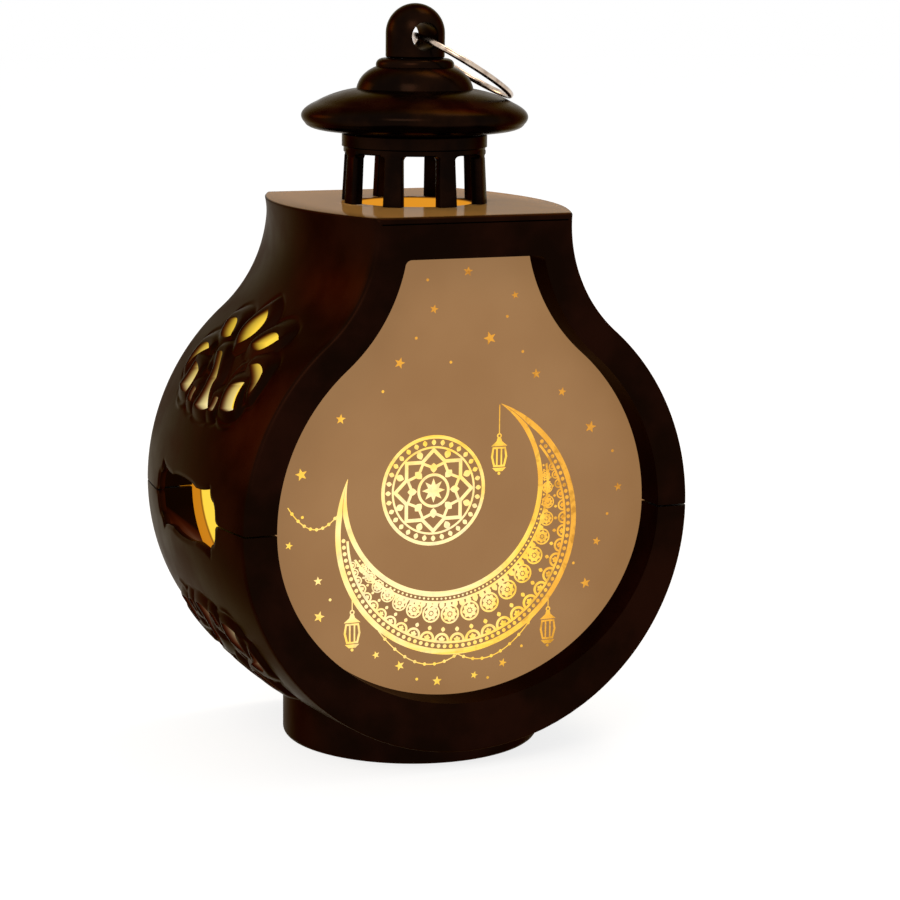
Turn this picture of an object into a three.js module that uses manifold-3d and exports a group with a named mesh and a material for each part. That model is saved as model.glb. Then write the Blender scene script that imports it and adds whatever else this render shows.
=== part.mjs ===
import * as THREE from 'three';
import { mergeVertices } from 'three/addons/utils/BufferGeometryUtils.js';
import Module from 'manifold-3d';

// A small table and hanging lantern with a battery candle inside.
// Millimetres, +Z up, front face towards -Y, origin at the centre of the foot's underside.

// General fits
const fitGap = 0.3;          // running and seating clearance between two pieces
const seamGap = 0.3;         // parting line between the two body shells
const weldTolerance = 1e-3;

// Body
const bodyDepth = 55;
const bellyRadius = 40.8;
const bellyLift = 3.2;       // from the ground to the lowest point of the belly's round
const neckRadius = 25.2;     // hollow arc between belly and deck
const neckHalfWidth = 17.6;
const deckRise = 51.6;       // from the belly's centre to the deck
const seamDrop = 0.1;        // the parting line lies just under the belly's centre
const sideBulge = 2.2;       // how far the side walls bow out, seen from above
const deckBulge = 6.5;
const bulgeRise = 28;        // above the belly's centre the bow grows up to the deck
const wall = 1.2;
const edgeBevel = 0.5;
const dowelRadius = 1;
const dowelLength = 3;

// Picture frames and panels
const frameWidth = 5.6;
const frameBottomWidth = 8.8;
const frameTopWidth = 7;
const frameDepth = 6.3;
const windowCornerRadius = 1.2;
const panelThickness = 1.2;
const panelLip = 1.6;
const ribThickness = 1.2;    // ledge behind each panel

// Pierced side ornament, drawn on the wall as (across, up) from its centre
const motifRise = 22.3;      // from the belly's centre to the ornament's
const rosettePitch = 11.6;   // from the middle to the centre of each rosette
const leafFootRise = 5.6;
const leafLength = 5.9;
const leafWidth = 7.2;
const sideLeafLength = 8.3;
const sideLeafWidth = 2.9;
const sideLeafLean = 78;     // degrees from upright
const sideLeafOffset = 5.4;
const sideLeafRise = 6.4;
const cartoucheHalfLength = 16.6;
const cartoucheHalfHeight = 5.7;
const cartoucheTip = 3.8;    // from the pointed corners to the pointed end
const cartoucheWave = 0.8;

// Foot
const footRadius = 23;
const footWall = 2.2;
const footBevel = 1;
const boreRoof = 2.1;        // material left between the foot bore and the panel slot

// Gallery
const deckOpeningRadius = 10;
const postCount = 8;
const postRingRadius = 11.4;
const postTurn = 5.4;        // degrees, turn of the whole gallery
const postTopWidth = 3;
const postFootWidth = 3.4;
const postDepth = 2;
const postFootSpread = 0.5;
const pegRadius = 0.8;
const pegLength = 1.5;
const galleryRingInner = 10.4;
const galleryRingOuter = 12.4;
const galleryLip = 0.3;
const postHeight = 8.7;
const galleryNeck = 1.1;     // plain band of the ring under its lip
const galleryBand = 2.2;

// Roof and knob
const brimRadius = 19.8;
const brimRise = 3;          // from the gallery's top to the brim's tip
const brimRound = 1.2;
const brimSlopeInset = 2.6;
const domeRadius = 10.2;
const domeRise = 4.7;
const shoulderRadius = 6.6;
const shoulderRise = 4.2;
const seatRise = 1.1;
const roofWall = 1.6;
const spigotWall = 1;
const spigotDepth = 1.2;
const knobRadius = 5.15;
const knobHeight = 9.1;
const knobPegRadius = 2;
const knobPegLength = 3.2;
const knobHoleRadius = 2.4;
const knobHoleRise = 3.5;

// Hanging ring
const ringRadius = 10;       // to the middle of the wire
const ringWire = 1.1;
const ringShift = 0.2;       // the wire leans towards the right side of its hole
const ringTwist = 4.4;       // degrees, its front edge hangs a little low

// Base plate, held by three screws in the foot
const plateRecess = 0.8;
const plateThickness = 2.6;
const screwCircle = 17.6;
const screwCount = 3;
const screwTurn = -90;
const screwRadius = 0.95;
const screwLength = 4.6;
const screwHeadRadius = 1.8;
const screwHeadHeight = 1.1;
const screwSlotWidth = 0.5;
const screwSlotLength = 2.5;
const bossRadius = 3.4;

// Button cells and their bay
const cellRadius = 5.8;
const cellHeight = 5.4;
const cellEdge = 0.4;
const cellCapInset = 0.9;
const cellCount = 3;
const contactThickness = 0.3;
const contactWidth = 3.4;
const bayWall = 0.9;
const bayRoof = 1;
const doorThickness = 1.6;
const doorLip = 0.6;
const lugProud = 0.9;
const lugHeight = 0.7;
const lugArc = 26;           // degrees
const lugPlay = 4;           // degrees by which the gates are wider than the lugs
const doorTurnRange = 45;    // degrees from shut to free
const coinSlotLength = 11;
const coinSlotWidth = 1.6;
const coinSlotDepth = 0.5;

// Slide switch
const switchY = 16.9;
const switchLength = 8.6;
const switchWidth = 3.6;
const switchHeight = 3.5;
const switchWall = 0.6;
const switchTravel = 2;
const sliderFlangeLength = 4.2;
const sliderFlangeHeight = 0.9;
const sliderStemLength = 2.2;
const sliderStemWidth = 1.6;
const sliderProud = 2;       // how far the stem reaches below the plate's top side

// Candle
const candleRadius = 11;
const candleWall = 1.2;
const candleHeight = 24.5;
const candleTop = 2.6;
const candleRimHeight = 1.2;
const locatorHeight = 1.5;
const locatorWall = 1.2;
const boardThickness = 1;
const boardDrop = 0.4;       // step in the candle's bore above the board
const ledRadius = 2.5;
const ledHeight = 8.6;
const ledFlange = 0.4;
const ledFlangeHeight = 1;
const flameFootRadius = 4.4;
const flameBellyPull = 7.5;  // control points of the flame's outline
const flameNeckPull = 3;
const flameHeight = 20;
const flameWall = 1;
const wireRadius = 0.5;
const wireSpread = 4;
const wireBend = 1.2;

// Facets
const roundSides = 32;
const middleSides = 24;
const smallSides = 12;
const finestSides = 8;
const ringSteps = 36;
const bellySteps = 18;
const neckSteps = 6;
const depthSteps = 6;

// Derived sizes
const halfDepth = bodyDepth / 2;
const bellyCentreZ = bellyLift + bellyRadius;
const seamZ = bellyCentreZ - seamDrop;
const deckZ = bellyCentreZ + deckRise;
const motifCentreZ = bellyCentreZ + motifRise;
const neckCentreX = neckHalfWidth + neckRadius;
const neckCentreZ = bellyCentreZ + Math.sqrt((bellyRadius + neckRadius) ** 2 - neckCentreX ** 2);
const tangentAngle = Math.atan2(neckCentreZ - bellyCentreZ, neckCentreX);
const slotWidth = panelThickness + 2 * fitGap;
const cavityHalfDepth = halfDepth - frameDepth - slotWidth - ribThickness;
const windowBottomZ = bellyCentreZ - bellyRadius + frameBottomWidth;
const boreRadius = footRadius - footWall;
const boreTopZ = windowBottomZ - panelLip - fitGap - boreRoof;
const plateTopZ = plateRecess + plateThickness;
const plateRadius = boreRadius - fitGap;
const doorTopZ = plateRecess + doorThickness;
const cellCircle = (2 * cellRadius + fitGap) / Math.sqrt(3);
const pocketRadius = cellRadius + fitGap;
const bayRadius = cellCircle + pocketRadius + bayWall;
const doorRadius = bayRadius - doorLip;
const doorContactZ = doorTopZ + fitGap;
const cellZ = doorContactZ + contactThickness + fitGap;
const topContactZ = cellZ + cellHeight + fitGap;
const bayCeilingZ = topContactZ + contactThickness + fitGap;
const bayTopZ = bayCeilingZ + bayRoof;
const candleFootZ = bayTopZ + fitGap;
const candleTopZ = candleFootZ + candleHeight;
const candleBore = candleRadius - candleWall;
const locatorRadius = candleBore - fitGap;
const boardRadius = candleBore - fitGap;
const boardTopZ = candleTopZ - candleTop - fitGap;
const ledHoleRadius = ledRadius + ledFlange + fitGap;
const galleryRingZ = deckZ + postHeight;
const galleryLipZ = galleryRingZ + galleryNeck;
const galleryTopZ = galleryLipZ + galleryBand;
const roofSeatZ = galleryTopZ + fitGap;
const brimTipZ = galleryTopZ + brimRise;
const domeFootZ = brimTipZ + domeRise;
const shoulderZ = domeFootZ + shoulderRise;
const knobSeatZ = shoulderZ + seatRise;
const knobFootZ = knobSeatZ + fitGap;
const knobHoleZ = knobFootZ + knobHoleRise;
const totalHeight = knobFootZ + knobHeight;
const wireHoleRadius = wireRadius + fitGap;

const wasm = await Module();
wasm.setup();

const radians = THREE.MathUtils.degToRad;

// Solids

function weld(geometry) {
  const bare = geometry.index ? geometry.toNonIndexed() : geometry.clone();
  bare.deleteAttribute('normal');
  bare.deleteAttribute('uv');
  const merged = mergeVertices(bare, weldTolerance);
  const corners = merged.index.array;
  const kept = [];
  for (let i = 0; i < corners.length; i += 3) {
    const [a, b, c] = [corners[i], corners[i + 1], corners[i + 2]];
    if (a !== b && b !== c && c !== a) kept.push(a, b, c);
  }
  merged.setIndex(kept);
  return merged;
}

function toSolid(geometry) {
  const merged = weld(geometry);
  return new wasm.Manifold(new wasm.Mesh({
    numProp: 3,
    vertProperties: new Float32Array(merged.attributes.position.array),
    triVerts: new Uint32Array(merged.index.array),
  }));
}

function toGeometry(solid) {
  const mesh = solid.getMesh();
  const geometry = new THREE.BufferGeometry();
  geometry.setAttribute('position', new THREE.BufferAttribute(new Float32Array(mesh.vertProperties), 3));
  geometry.setIndex(new THREE.BufferAttribute(new Uint32Array(mesh.triVerts), 1));
  geometry.computeVertexNormals();
  return geometry;
}

function unite(first, ...others) {
  return others.reduce((sum, solid) => sum.add(solid), first);
}

function cut(first, ...others) {
  return others.reduce((rest, solid) => rest.subtract(solid), first);
}

// A closed skin over equal rings of points, flat at both ends.
function loft(sections) {
  const flat = sections[0].map((p) => flatten(p, sections[0]));
  const clockwise = THREE.ShapeUtils.isClockWise(flat);
  const rings = clockwise ? sections.map((ring) => [...ring].reverse()) : sections;
  const outline = clockwise ? flat.reverse() : flat;
  const count = outline.length;
  const positions = rings.flat().flatMap((p) => [p.x, p.y, p.z]);
  const faces = [];
  for (let r = 0; r < rings.length - 1; r++) {
    for (let i = 0; i < count; i++) {
      const a = r * count + i;
      const b = r * count + (i + 1) % count;
      faces.push(a, b, b + count, a, b + count, a + count);
    }
  }
  const capStart = (rings.length - 1) * count;
  for (const [a, b, c] of THREE.ShapeUtils.triangulateShape(outline, [])) {
    faces.push(a, c, b);
    faces.push(capStart + a, capStart + b, capStart + c);
  }
  const geometry = new THREE.BufferGeometry();
  geometry.setAttribute('position', new THREE.Float32BufferAttribute(positions, 3));
  geometry.setIndex(faces);
  return outward(geometry);
}

// Rings lie square to Y or square to Z, so one coordinate drops out.
function flatten(point, ring) {
  const alongY = ring.every((p) => Math.abs(p.y - ring[0].y) < 1e-6);
  return alongY ? new THREE.Vector2(point.x, point.z) : new THREE.Vector2(point.x, point.y);
}

function outward(geometry) {
  const position = geometry.attributes.position;
  const index = geometry.index.array;
  const corner = (i) => new THREE.Vector3().fromBufferAttribute(position, index[i]);
  let volume = 0;
  for (let i = 0; i < index.length; i += 3) volume += corner(i).dot(corner(i + 1).cross(corner(i + 2)));
  if (volume < 0) geometry.setIndex(Array.from(index).reverse());
  return geometry;
}

function revolve(points, sides = roundSides) {
  const turned = new THREE.LatheGeometry(points, sides);
  turned.rotateX(Math.PI / 2);
  return toSolid(outward(weld(turned)));
}

function rod(radius, bottomZ, topZ, x = 0, y = 0, sides = smallSides) {
  const geometry = new THREE.CylinderGeometry(radius, radius, topZ - bottomZ, sides);
  geometry.rotateX(Math.PI / 2);
  geometry.translate(x, y, (bottomZ + topZ) / 2);
  return toSolid(geometry);
}

function block(lengthX, lengthY, bottomZ, topZ, x = 0, y = 0) {
  const geometry = new THREE.BoxGeometry(lengthX, lengthY, topZ - bottomZ);
  geometry.translate(x, y, (bottomZ + topZ) / 2);
  return toSolid(geometry);
}

function arc(x, z, radiusX, radiusZ, from, to, steps, clockwise = false) {
  return new THREE.EllipseCurve(x, z, radiusX, radiusZ, from, to, clockwise).getPoints(steps);
}

function upright(shape, bottomZ, topZ, curveSegments = 6) {
  const depth = topZ - bottomZ;
  const geometry = new THREE.ExtrudeGeometry(shape, { depth, bevelEnabled: false, curveSegments });
  geometry.translate(0, 0, bottomZ);
  return toSolid(geometry);
}

// Body outline

// Right half of the front view, from the bottom up to the deck, drawn in by inset.
function halfOutline(inset) {
  const round = bellyRadius - inset;
  const belly = arc(0, bellyCentreZ, round, round, -Math.PI / 2, tangentAngle, bellySteps);
  const neck = neckRadius + inset;
  const end = Math.PI - Math.asin((deckZ - inset - neckCentreZ) / neck);
  const waist = arc(neckCentreX, neckCentreZ, neck, neck, tangentAngle + Math.PI, end, neckSteps, true);
  return belly.concat(waist.slice(1));
}

function bulge(z) {
  const rise = THREE.MathUtils.clamp((z - bellyCentreZ - bulgeRise) / (deckRise - bulgeRise), 0, 1);
  return sideBulge + (deckBulge - sideBulge) * rise ** 2;
}

// One slice of the body across its depth: both halves move apart by the bow of the side walls.
function bodySlice(y, inset) {
  const bow = 1 - (y / halfDepth) ** 2;
  const right = halfOutline(inset).map((p, i) => new THREE.Vector3(i ? p.x + bow * bulge(p.y) : 0, y, p.y));
  const left = right.slice(1).reverse().map((p) => new THREE.Vector3(-p.x, y, p.z));
  return right.concat(left);
}

function bodySolid() {
  const rings = [bodySlice(-halfDepth, edgeBevel)];
  const reach = halfDepth - edgeBevel;
  for (let i = 0; i <= depthSteps; i++) {
    rings.push(bodySlice(THREE.MathUtils.lerp(-reach, reach, i / depthSteps), 0));
  }
  rings.push(bodySlice(halfDepth, edgeBevel));
  return toSolid(loft(rings));
}

function cavitySolid() {
  const rings = [];
  for (let i = 0; i <= depthSteps; i++) {
    rings.push(bodySlice(THREE.MathUtils.lerp(-cavityHalfDepth, cavityHalfDepth, i / depthSteps), wall));
  }
  return toSolid(loft(rings));
}

// The picture window, the panel and its slot are one outline, grown by a margin.
function windowOutline(margin) {
  const radius = bellyRadius - frameWidth + margin;
  const depth = bellyRadius - frameBottomWidth + margin;
  const neck = neckRadius + frameWidth - margin;
  const topZ = deckZ - frameTopWidth + margin;
  const corner = windowCornerRadius;
  const end = Math.PI - Math.asin((topZ - corner - neckCentreZ) / neck);
  const topX = neckCentreX + neck * Math.cos(end);
  const right = [
    ...arc(0, bellyCentreZ, radius, depth, -Math.PI / 2, 0, bellySteps / 2),
    ...arc(0, bellyCentreZ, radius, radius, 0, tangentAngle, bellySteps / 2).slice(1),
    ...arc(neckCentreX, neckCentreZ, neck, neck, tangentAngle + Math.PI, end, neckSteps, true).slice(1),
    ...arc(topX - corner, topZ - corner, corner, corner, 0, Math.PI / 2, 3).slice(1),
  ];
  const left = right.slice(1).reverse().map((p) => new THREE.Vector2(-p.x, p.y));
  return right.concat(left);
}

function windowPrism(margin, fromY, toY) {
  const outline = windowOutline(margin);
  return toSolid(loft([fromY, toY].map((y) => outline.map((p) => new THREE.Vector3(p.x, y, p.y)))));
}

// Pierced ornament

// A pointed leaf from its foot at the origin up the second axis.
function leafShape(length, width) {
  const shape = new THREE.Shape();
  shape.moveTo(0, 0);
  shape.quadraticCurveTo(width, length / 2, 0, length);
  shape.quadraticCurveTo(-width, length / 2, 0, 0);
  return shape;
}

// A closed outline through curves given as control point and end point.
function curvedShape(start, curves) {
  const shape = new THREE.Shape();
  shape.moveTo(...start);
  curves.forEach(([control, end]) => shape.quadraticCurveTo(...control, ...end));
  return shape;
}

// The gaps between the petals of one rosette, about its centre and open to the outer side.
function rosetteShapes() {
  const rim = curvedShape([-0.8, 3.6], [
    [[2.4, 4.9], [5.4, 3.3]],
    [[6.6, 1.6], [5.6, -0.4]],
    [[4.7, -0.4], [4.1, 1.2]],
    [[2.6, 2.4], [-0.8, 3.6]],
  ]);
  const heel = curvedShape([1.8, 1.1], [
    [[1.3, -1.4], [3.1, -3.2]],
    [[0.6, -4.2], [-2.2, -3.8]],
    [[-3.8, -1.6], [-3.1, 0]],
    [[-1.2, 0.9], [1.8, 1.1]],
  ]);
  const sliver = curvedShape([-6.9, -2.6], [
    [[-5.6, -2.1], [-4.6, -2.4]],
    [[-4.2, -3.6], [-4.7, -4.5]],
    [[-6.2, -5], [-7.1, -4.6]],
    [[-6.2, -3.6], [-6.9, -2.6]],
  ]);
  return [rim, heel, sliver];
}

// The long curl that parts the two rosettes.
function curlShape() {
  return curvedShape([5.6, 3.7], [
    [[3.4, 4.4], [2.2, 3.4]],
    [[-0.4, 1.6], [-1.7, 0.2]],
    [[-0.7, -1.6], [-4.6, -4.4]],
    [[-1, -5.8], [2.3, -4.9]],
    [[0.6, -2.6], [1.5, -0.7]],
    [[1.2, 1.4], [5.6, 3.7]],
  ]);
}

// A quarter of the side window's edge, from the middle of its top to its pointed end.
function cartoucheQuarter() {
  const height = cartoucheHalfHeight;
  const corner = cartoucheHalfLength - cartoucheTip;
  const path = new THREE.Path();
  path.moveTo(0, height - cartoucheWave / 2);
  path.quadraticCurveTo(corner * 0.35, height - cartoucheWave / 2, corner / 2, height - 1.3 * cartoucheWave);
  path.quadraticCurveTo(corner * 0.85, height - 1.2 * cartoucheWave, corner, height);
  path.quadraticCurveTo(corner, height * 0.72, corner + cartoucheTip * 0.5, height * 0.62);
  const bracket = corner + cartoucheTip * 0.75;
  path.quadraticCurveTo(bracket, height * 0.45, bracket, height * 0.15);
  path.lineTo(cartoucheHalfLength, 0);
  return path.getPoints(2);
}

// A long label with pointed corners and bracket ends, alike in all four quarters.
function cartoucheOutline() {
  const quarter = cartoucheQuarter();
  const lower = quarter.slice(0, -1).reverse().map((p) => new THREE.Vector2(p.x, -p.y));
  const right = quarter.concat(lower);
  const left = right.slice(1, -1).reverse().map((p) => new THREE.Vector2(-p.x, p.y));
  return right.concat(left);
}

// Every opening of the ornament: three leaves above a pair of rosettes.
function motifOutlines() {
  const origin = new THREE.Vector2();
  const middleLeaf = leafShape(leafLength, leafWidth).getPoints(4);
  const outlines = [curlShape().getPoints(3)];
  outlines.push(middleLeaf.map((p) => new THREE.Vector2(p.x, p.y + leafFootRise)));
  for (const side of [-1, 1]) {
    const move = new THREE.Vector2(side * sideLeafOffset, sideLeafRise);
    const lean = -side * radians(sideLeafLean);
    const leaf = leafShape(sideLeafLength, sideLeafWidth).getPoints(3);
    outlines.push(leaf.map((p) => p.clone().rotateAround(origin, lean).add(move)));
    for (const shape of rosetteShapes()) {
      outlines.push(shape.getPoints(2).map((p) => new THREE.Vector2(side * (p.x + rosettePitch), p.y)));
    }
  }
  return outlines;
}

// A cutter through one side wall: the outline stands in the Y-Z plane and runs along X.
function sideCutter(outline, centreZ, flip, side) {
  const near = neckHalfWidth / 2;
  const far = bellyRadius + sideBulge + wall;
  const rings = [near, far].map((x) => outline.map((p) => new THREE.Vector3(p.x, p.y * flip, side * x)));
  const geometry = loft(rings);
  const axes = new THREE.Matrix4().makeBasis(
    new THREE.Vector3(0, 1, 0), new THREE.Vector3(0, 0, 1), new THREE.Vector3(1, 0, 0));
  geometry.applyMatrix4(axes);
  geometry.translate(0, 0, centreZ);
  return toSolid(outward(geometry));
}

function sideCutters() {
  const cutters = [];
  for (const side of [-1, 1]) {
    cutters.push(sideCutter(cartoucheOutline(), seamZ, 1, side));
    for (const outline of motifOutlines()) {
      const closed = dropRepeats(outline);
      cutters.push(sideCutter(closed, motifCentreZ, 1, side));
      cutters.push(sideCutter(closed, 2 * seamZ - motifCentreZ, -1, side));
    }
  }
  return cutters;
}

function dropRepeats(points) {
  return points.filter((p, i) => p.distanceTo(points[(i + 1) % points.length]) > 1e-3);
}

// Body shells

function footSolid() {
  const topZ = windowBottomZ - footBevel / 2;
  return revolve([
    new THREE.Vector2(0, 0),
    new THREE.Vector2(footRadius - footBevel, 0),
    ...arc(footRadius - footBevel, footBevel, footBevel, footBevel, -Math.PI / 2, 0, 2).slice(1),
    new THREE.Vector2(footRadius, topZ),
    new THREE.Vector2(0, topZ),
  ]);
}

function polar(radius, degrees) {
  return [radius * Math.cos(radians(degrees)), radius * Math.sin(radians(degrees))];
}

function screwPlaces() {
  return Array.from({ length: screwCount }, (_, i) => polar(screwCircle, screwTurn + 360 * i / screwCount));
}

function postAngles() {
  return Array.from({ length: postCount }, (_, i) => postTurn + 360 * i / postCount);
}

// Four dowels in the thick frames line the two shells up.
function dowels(radius, bottomZ, topZ) {
  const x = bellyRadius - frameWidth / 2;
  const y = halfDepth - frameDepth / 2;
  const corners = [[x, y], [-x, y], [x, -y], [-x, -y]];
  return corners.map(([px, py]) => rod(radius, bottomZ, topZ, px, py, finestSides));
}

function shellsSolid() {
  const frontSlot = halfDepth - frameDepth;
  let body = unite(bodySolid(), footSolid());
  body = cut(body, cavitySolid(), windowPrism(0, -bodyDepth, bodyDepth));
  body = cut(body, windowPrism(panelLip + fitGap, -frontSlot, -frontSlot + slotWidth));
  body = cut(body, windowPrism(panelLip + fitGap, frontSlot - slotWidth, frontSlot));
  body = cut(body, rod(boreRadius, -footBevel, boreTopZ, 0, 0, roundSides));
  body = cut(body, rod(deckOpeningRadius, deckZ - 2 * wall, deckZ + wall, 0, 0, roundSides));
  return cut(body, ...sideCutters());
}

function lowerShell(body) {
  const bottom = -totalHeight / 2;
  const below = block(2 * totalHeight, 2 * totalHeight, bottom, seamZ - seamGap / 2);
  let shell = body.intersect(below);
  for (const [x, y] of screwPlaces()) {
    shell = shell.add(rod(bossRadius, plateTopZ + fitGap, boreTopZ + fitGap, x, y, smallSides));
    const tipZ = plateRecess + screwHeadHeight + screwLength;
    shell = shell.subtract(rod(screwRadius + fitGap, 0, tipZ + fitGap, x, y, finestSides));
  }
  return unite(shell, ...dowels(dowelRadius, seamZ - dowelLength, seamZ + dowelLength));
}

function upperShell(body) {
  const above = block(2 * totalHeight, 2 * totalHeight, seamZ + seamGap / 2, totalHeight);
  const pegHoles = postAngles().map((degrees) => {
    const [x, y] = polar(postRingRadius + postFootSpread, degrees);
    return rod(pegRadius + fitGap, deckZ - 2 * wall, deckZ + wall, x, y, finestSides);
  });
  const dowelHoles = dowels(dowelRadius + fitGap, seamZ - dowelLength, seamZ + dowelLength + fitGap);
  return cut(body.intersect(above), ...dowelHoles, ...pegHoles);
}

// Panels

function panel(frontY) {
  return windowPrism(panelLip, frontY, frontY + panelThickness);
}

// Gallery

function post() {
  const section = (centre, width, depth, z) => [[-1, -1], [1, -1], [1, 1], [-1, 1]].map(
    ([u, v]) => new THREE.Vector3(centre + u * depth / 2, v * width / 2, z));
  const footRadial = postRingRadius + postFootSpread;
  const topZ = (galleryRingZ + galleryLipZ) / 2;
  const shaft = loft([
    section(footRadial, postFootWidth, postDepth, deckZ + fitGap),
    section(postRingRadius, postTopWidth, postDepth, topZ),
  ]);
  const peg = rod(pegRadius, deckZ - pegLength, deckZ + 2 * fitGap, footRadial, 0, finestSides);
  return toSolid(shaft).add(peg);
}

function gallery() {
  const ring = revolve([
    new THREE.Vector2(galleryRingInner, galleryRingZ),
    new THREE.Vector2(galleryRingOuter, galleryRingZ),
    new THREE.Vector2(galleryRingOuter, galleryLipZ - galleryLip),
    new THREE.Vector2(galleryRingOuter + galleryLip, galleryLipZ),
    new THREE.Vector2(galleryRingOuter + galleryLip, galleryTopZ - galleryLip),
    new THREE.Vector2(galleryRingOuter, galleryTopZ),
    new THREE.Vector2(galleryRingInner, galleryTopZ),
    new THREE.Vector2(galleryRingInner, galleryRingZ),
  ]);
  return unite(ring, ...postAngles().map((degrees) => post().rotate([0, 0, degrees])));
}

// Roof, knob and ring

// Upper side of the roof, from the brim's tip inwards to the seat of the knob.
function roofTopPath() {
  const path = new THREE.Path();
  path.moveTo(brimRadius, brimTipZ);
  const slopeRadius = brimRadius - brimSlopeInset;
  path.quadraticCurveTo(brimRadius, brimTipZ + brimRound, slopeRadius, brimTipZ + 2 * brimRound);
  path.quadraticCurveTo((brimRadius + domeRadius) / 2 - 1, domeFootZ - 0.5, domeRadius, domeFootZ);
  path.quadraticCurveTo(domeRadius - 0.5, shoulderZ - 1.6, shoulderRadius + 0.2, shoulderZ - 0.4);
  path.quadraticCurveTo(shoulderRadius + 0.4, knobSeatZ - 0.2, knobRadius + 0.3, knobSeatZ);
  return path;
}

function roof() {
  const under = new THREE.Path();
  under.moveTo(galleryRingOuter + galleryLip, roofSeatZ);
  const rimRadius = brimRadius - brimRound / 2;
  under.quadraticCurveTo(brimRadius - brimSlopeInset / 2, roofSeatZ, rimRadius, brimTipZ - brimRound);
  under.quadraticCurveTo(brimRadius, brimTipZ - brimRound / 2, brimRadius, brimTipZ);
  const spigotOuter = galleryRingInner - fitGap;
  const spigotInner = spigotOuter - spigotWall;
  const holeRadius = knobPegRadius + fitGap;
  const inside = new THREE.Path();
  inside.moveTo(holeRadius, knobSeatZ - roofWall);
  inside.lineTo(shoulderRadius - roofWall, knobSeatZ - roofWall);
  const room = domeRadius - roofWall;
  inside.quadraticCurveTo(room, shoulderZ - 2 * roofWall, room, domeFootZ - roofWall);
  inside.lineTo(spigotInner, roofSeatZ - spigotDepth);
  return revolve([
    ...under.getPoints(2),
    ...roofTopPath().getPoints(3).slice(1),
    new THREE.Vector2(holeRadius, knobSeatZ),
    ...inside.getPoints(2),
    new THREE.Vector2(spigotOuter, roofSeatZ - spigotDepth),
    new THREE.Vector2(spigotOuter, roofSeatZ),
    new THREE.Vector2(galleryRingOuter + galleryLip, roofSeatZ),
  ]);
}

function knob() {
  const solid = revolve([
    new THREE.Vector2(0, knobFootZ - knobPegLength),
    new THREE.Vector2(knobPegRadius, knobFootZ - knobPegLength),
    new THREE.Vector2(knobPegRadius, knobFootZ),
    new THREE.Vector2(knobRadius, knobFootZ),
    ...arc(0, totalHeight - knobRadius, knobRadius, knobRadius, 0, Math.PI / 2, 7),
  ], middleSides);
  const hole = new THREE.CylinderGeometry(knobHoleRadius, knobHoleRadius, 4 * knobRadius, middleSides);
  hole.translate(0, 0, knobHoleZ);
  return solid.subtract(toSolid(hole));
}

// The ring lies to the right of its pivot, dropped by an angle below level and twisted along its length.
function ringMatrix(drop) {
  const place = new THREE.Matrix4().makeTranslation(ringShift, 0, knobHoleZ);
  place.multiply(new THREE.Matrix4().makeRotationY(drop));
  place.multiply(new THREE.Matrix4().makeRotationX(radians(ringTwist)));
  return place.multiply(new THREE.Matrix4().makeTranslation(ringRadius, 0, 0));
}

// It drops until its far side lies on the brim.
function ringRestAngle() {
  const top = roofTopPath().getPoints(16);
  const clearance = ringWire / 2 + fitGap;
  const clears = (drop) => {
    const matrix = ringMatrix(radians(drop));
    return arc(0, 0, ringRadius, ringRadius, 0, 2 * Math.PI, ringSteps).every((p) => {
      const at = new THREE.Vector3(p.x, p.y, 0).applyMatrix4(matrix);
      const out = Math.hypot(at.x, at.y);
      return at.z > knobSeatZ || top.every((q) => Math.hypot(q.x - out, q.y - at.z) > clearance);
    });
  };
  let drop = 0;
  while (clears(drop + 0.1)) drop += 0.1;
  return radians(drop);
}

function ringMesh(material) {
  const mesh = new THREE.Mesh(new THREE.TorusGeometry(ringRadius, ringWire / 2, 8, ringSteps), material);
  ringMatrix(ringRestAngle()).decompose(mesh.position, mesh.quaternion, mesh.scale);
  return mesh;
}

// Base plate, door and screws

function cellPlaces() {
  return Array.from({ length: cellCount }, (_, i) => polar(cellCircle, 90 + 360 * i / cellCount));
}

function sector(radius, inner, degrees, turn, bottomZ, topZ) {
  const shape = new THREE.Shape();
  shape.absarc(0, 0, radius, radians(turn - degrees / 2), radians(turn + degrees / 2), false);
  shape.absarc(0, 0, inner, radians(turn + degrees / 2), radians(turn - degrees / 2), true);
  return upright(shape, bottomZ, topZ, 4);
}

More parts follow.
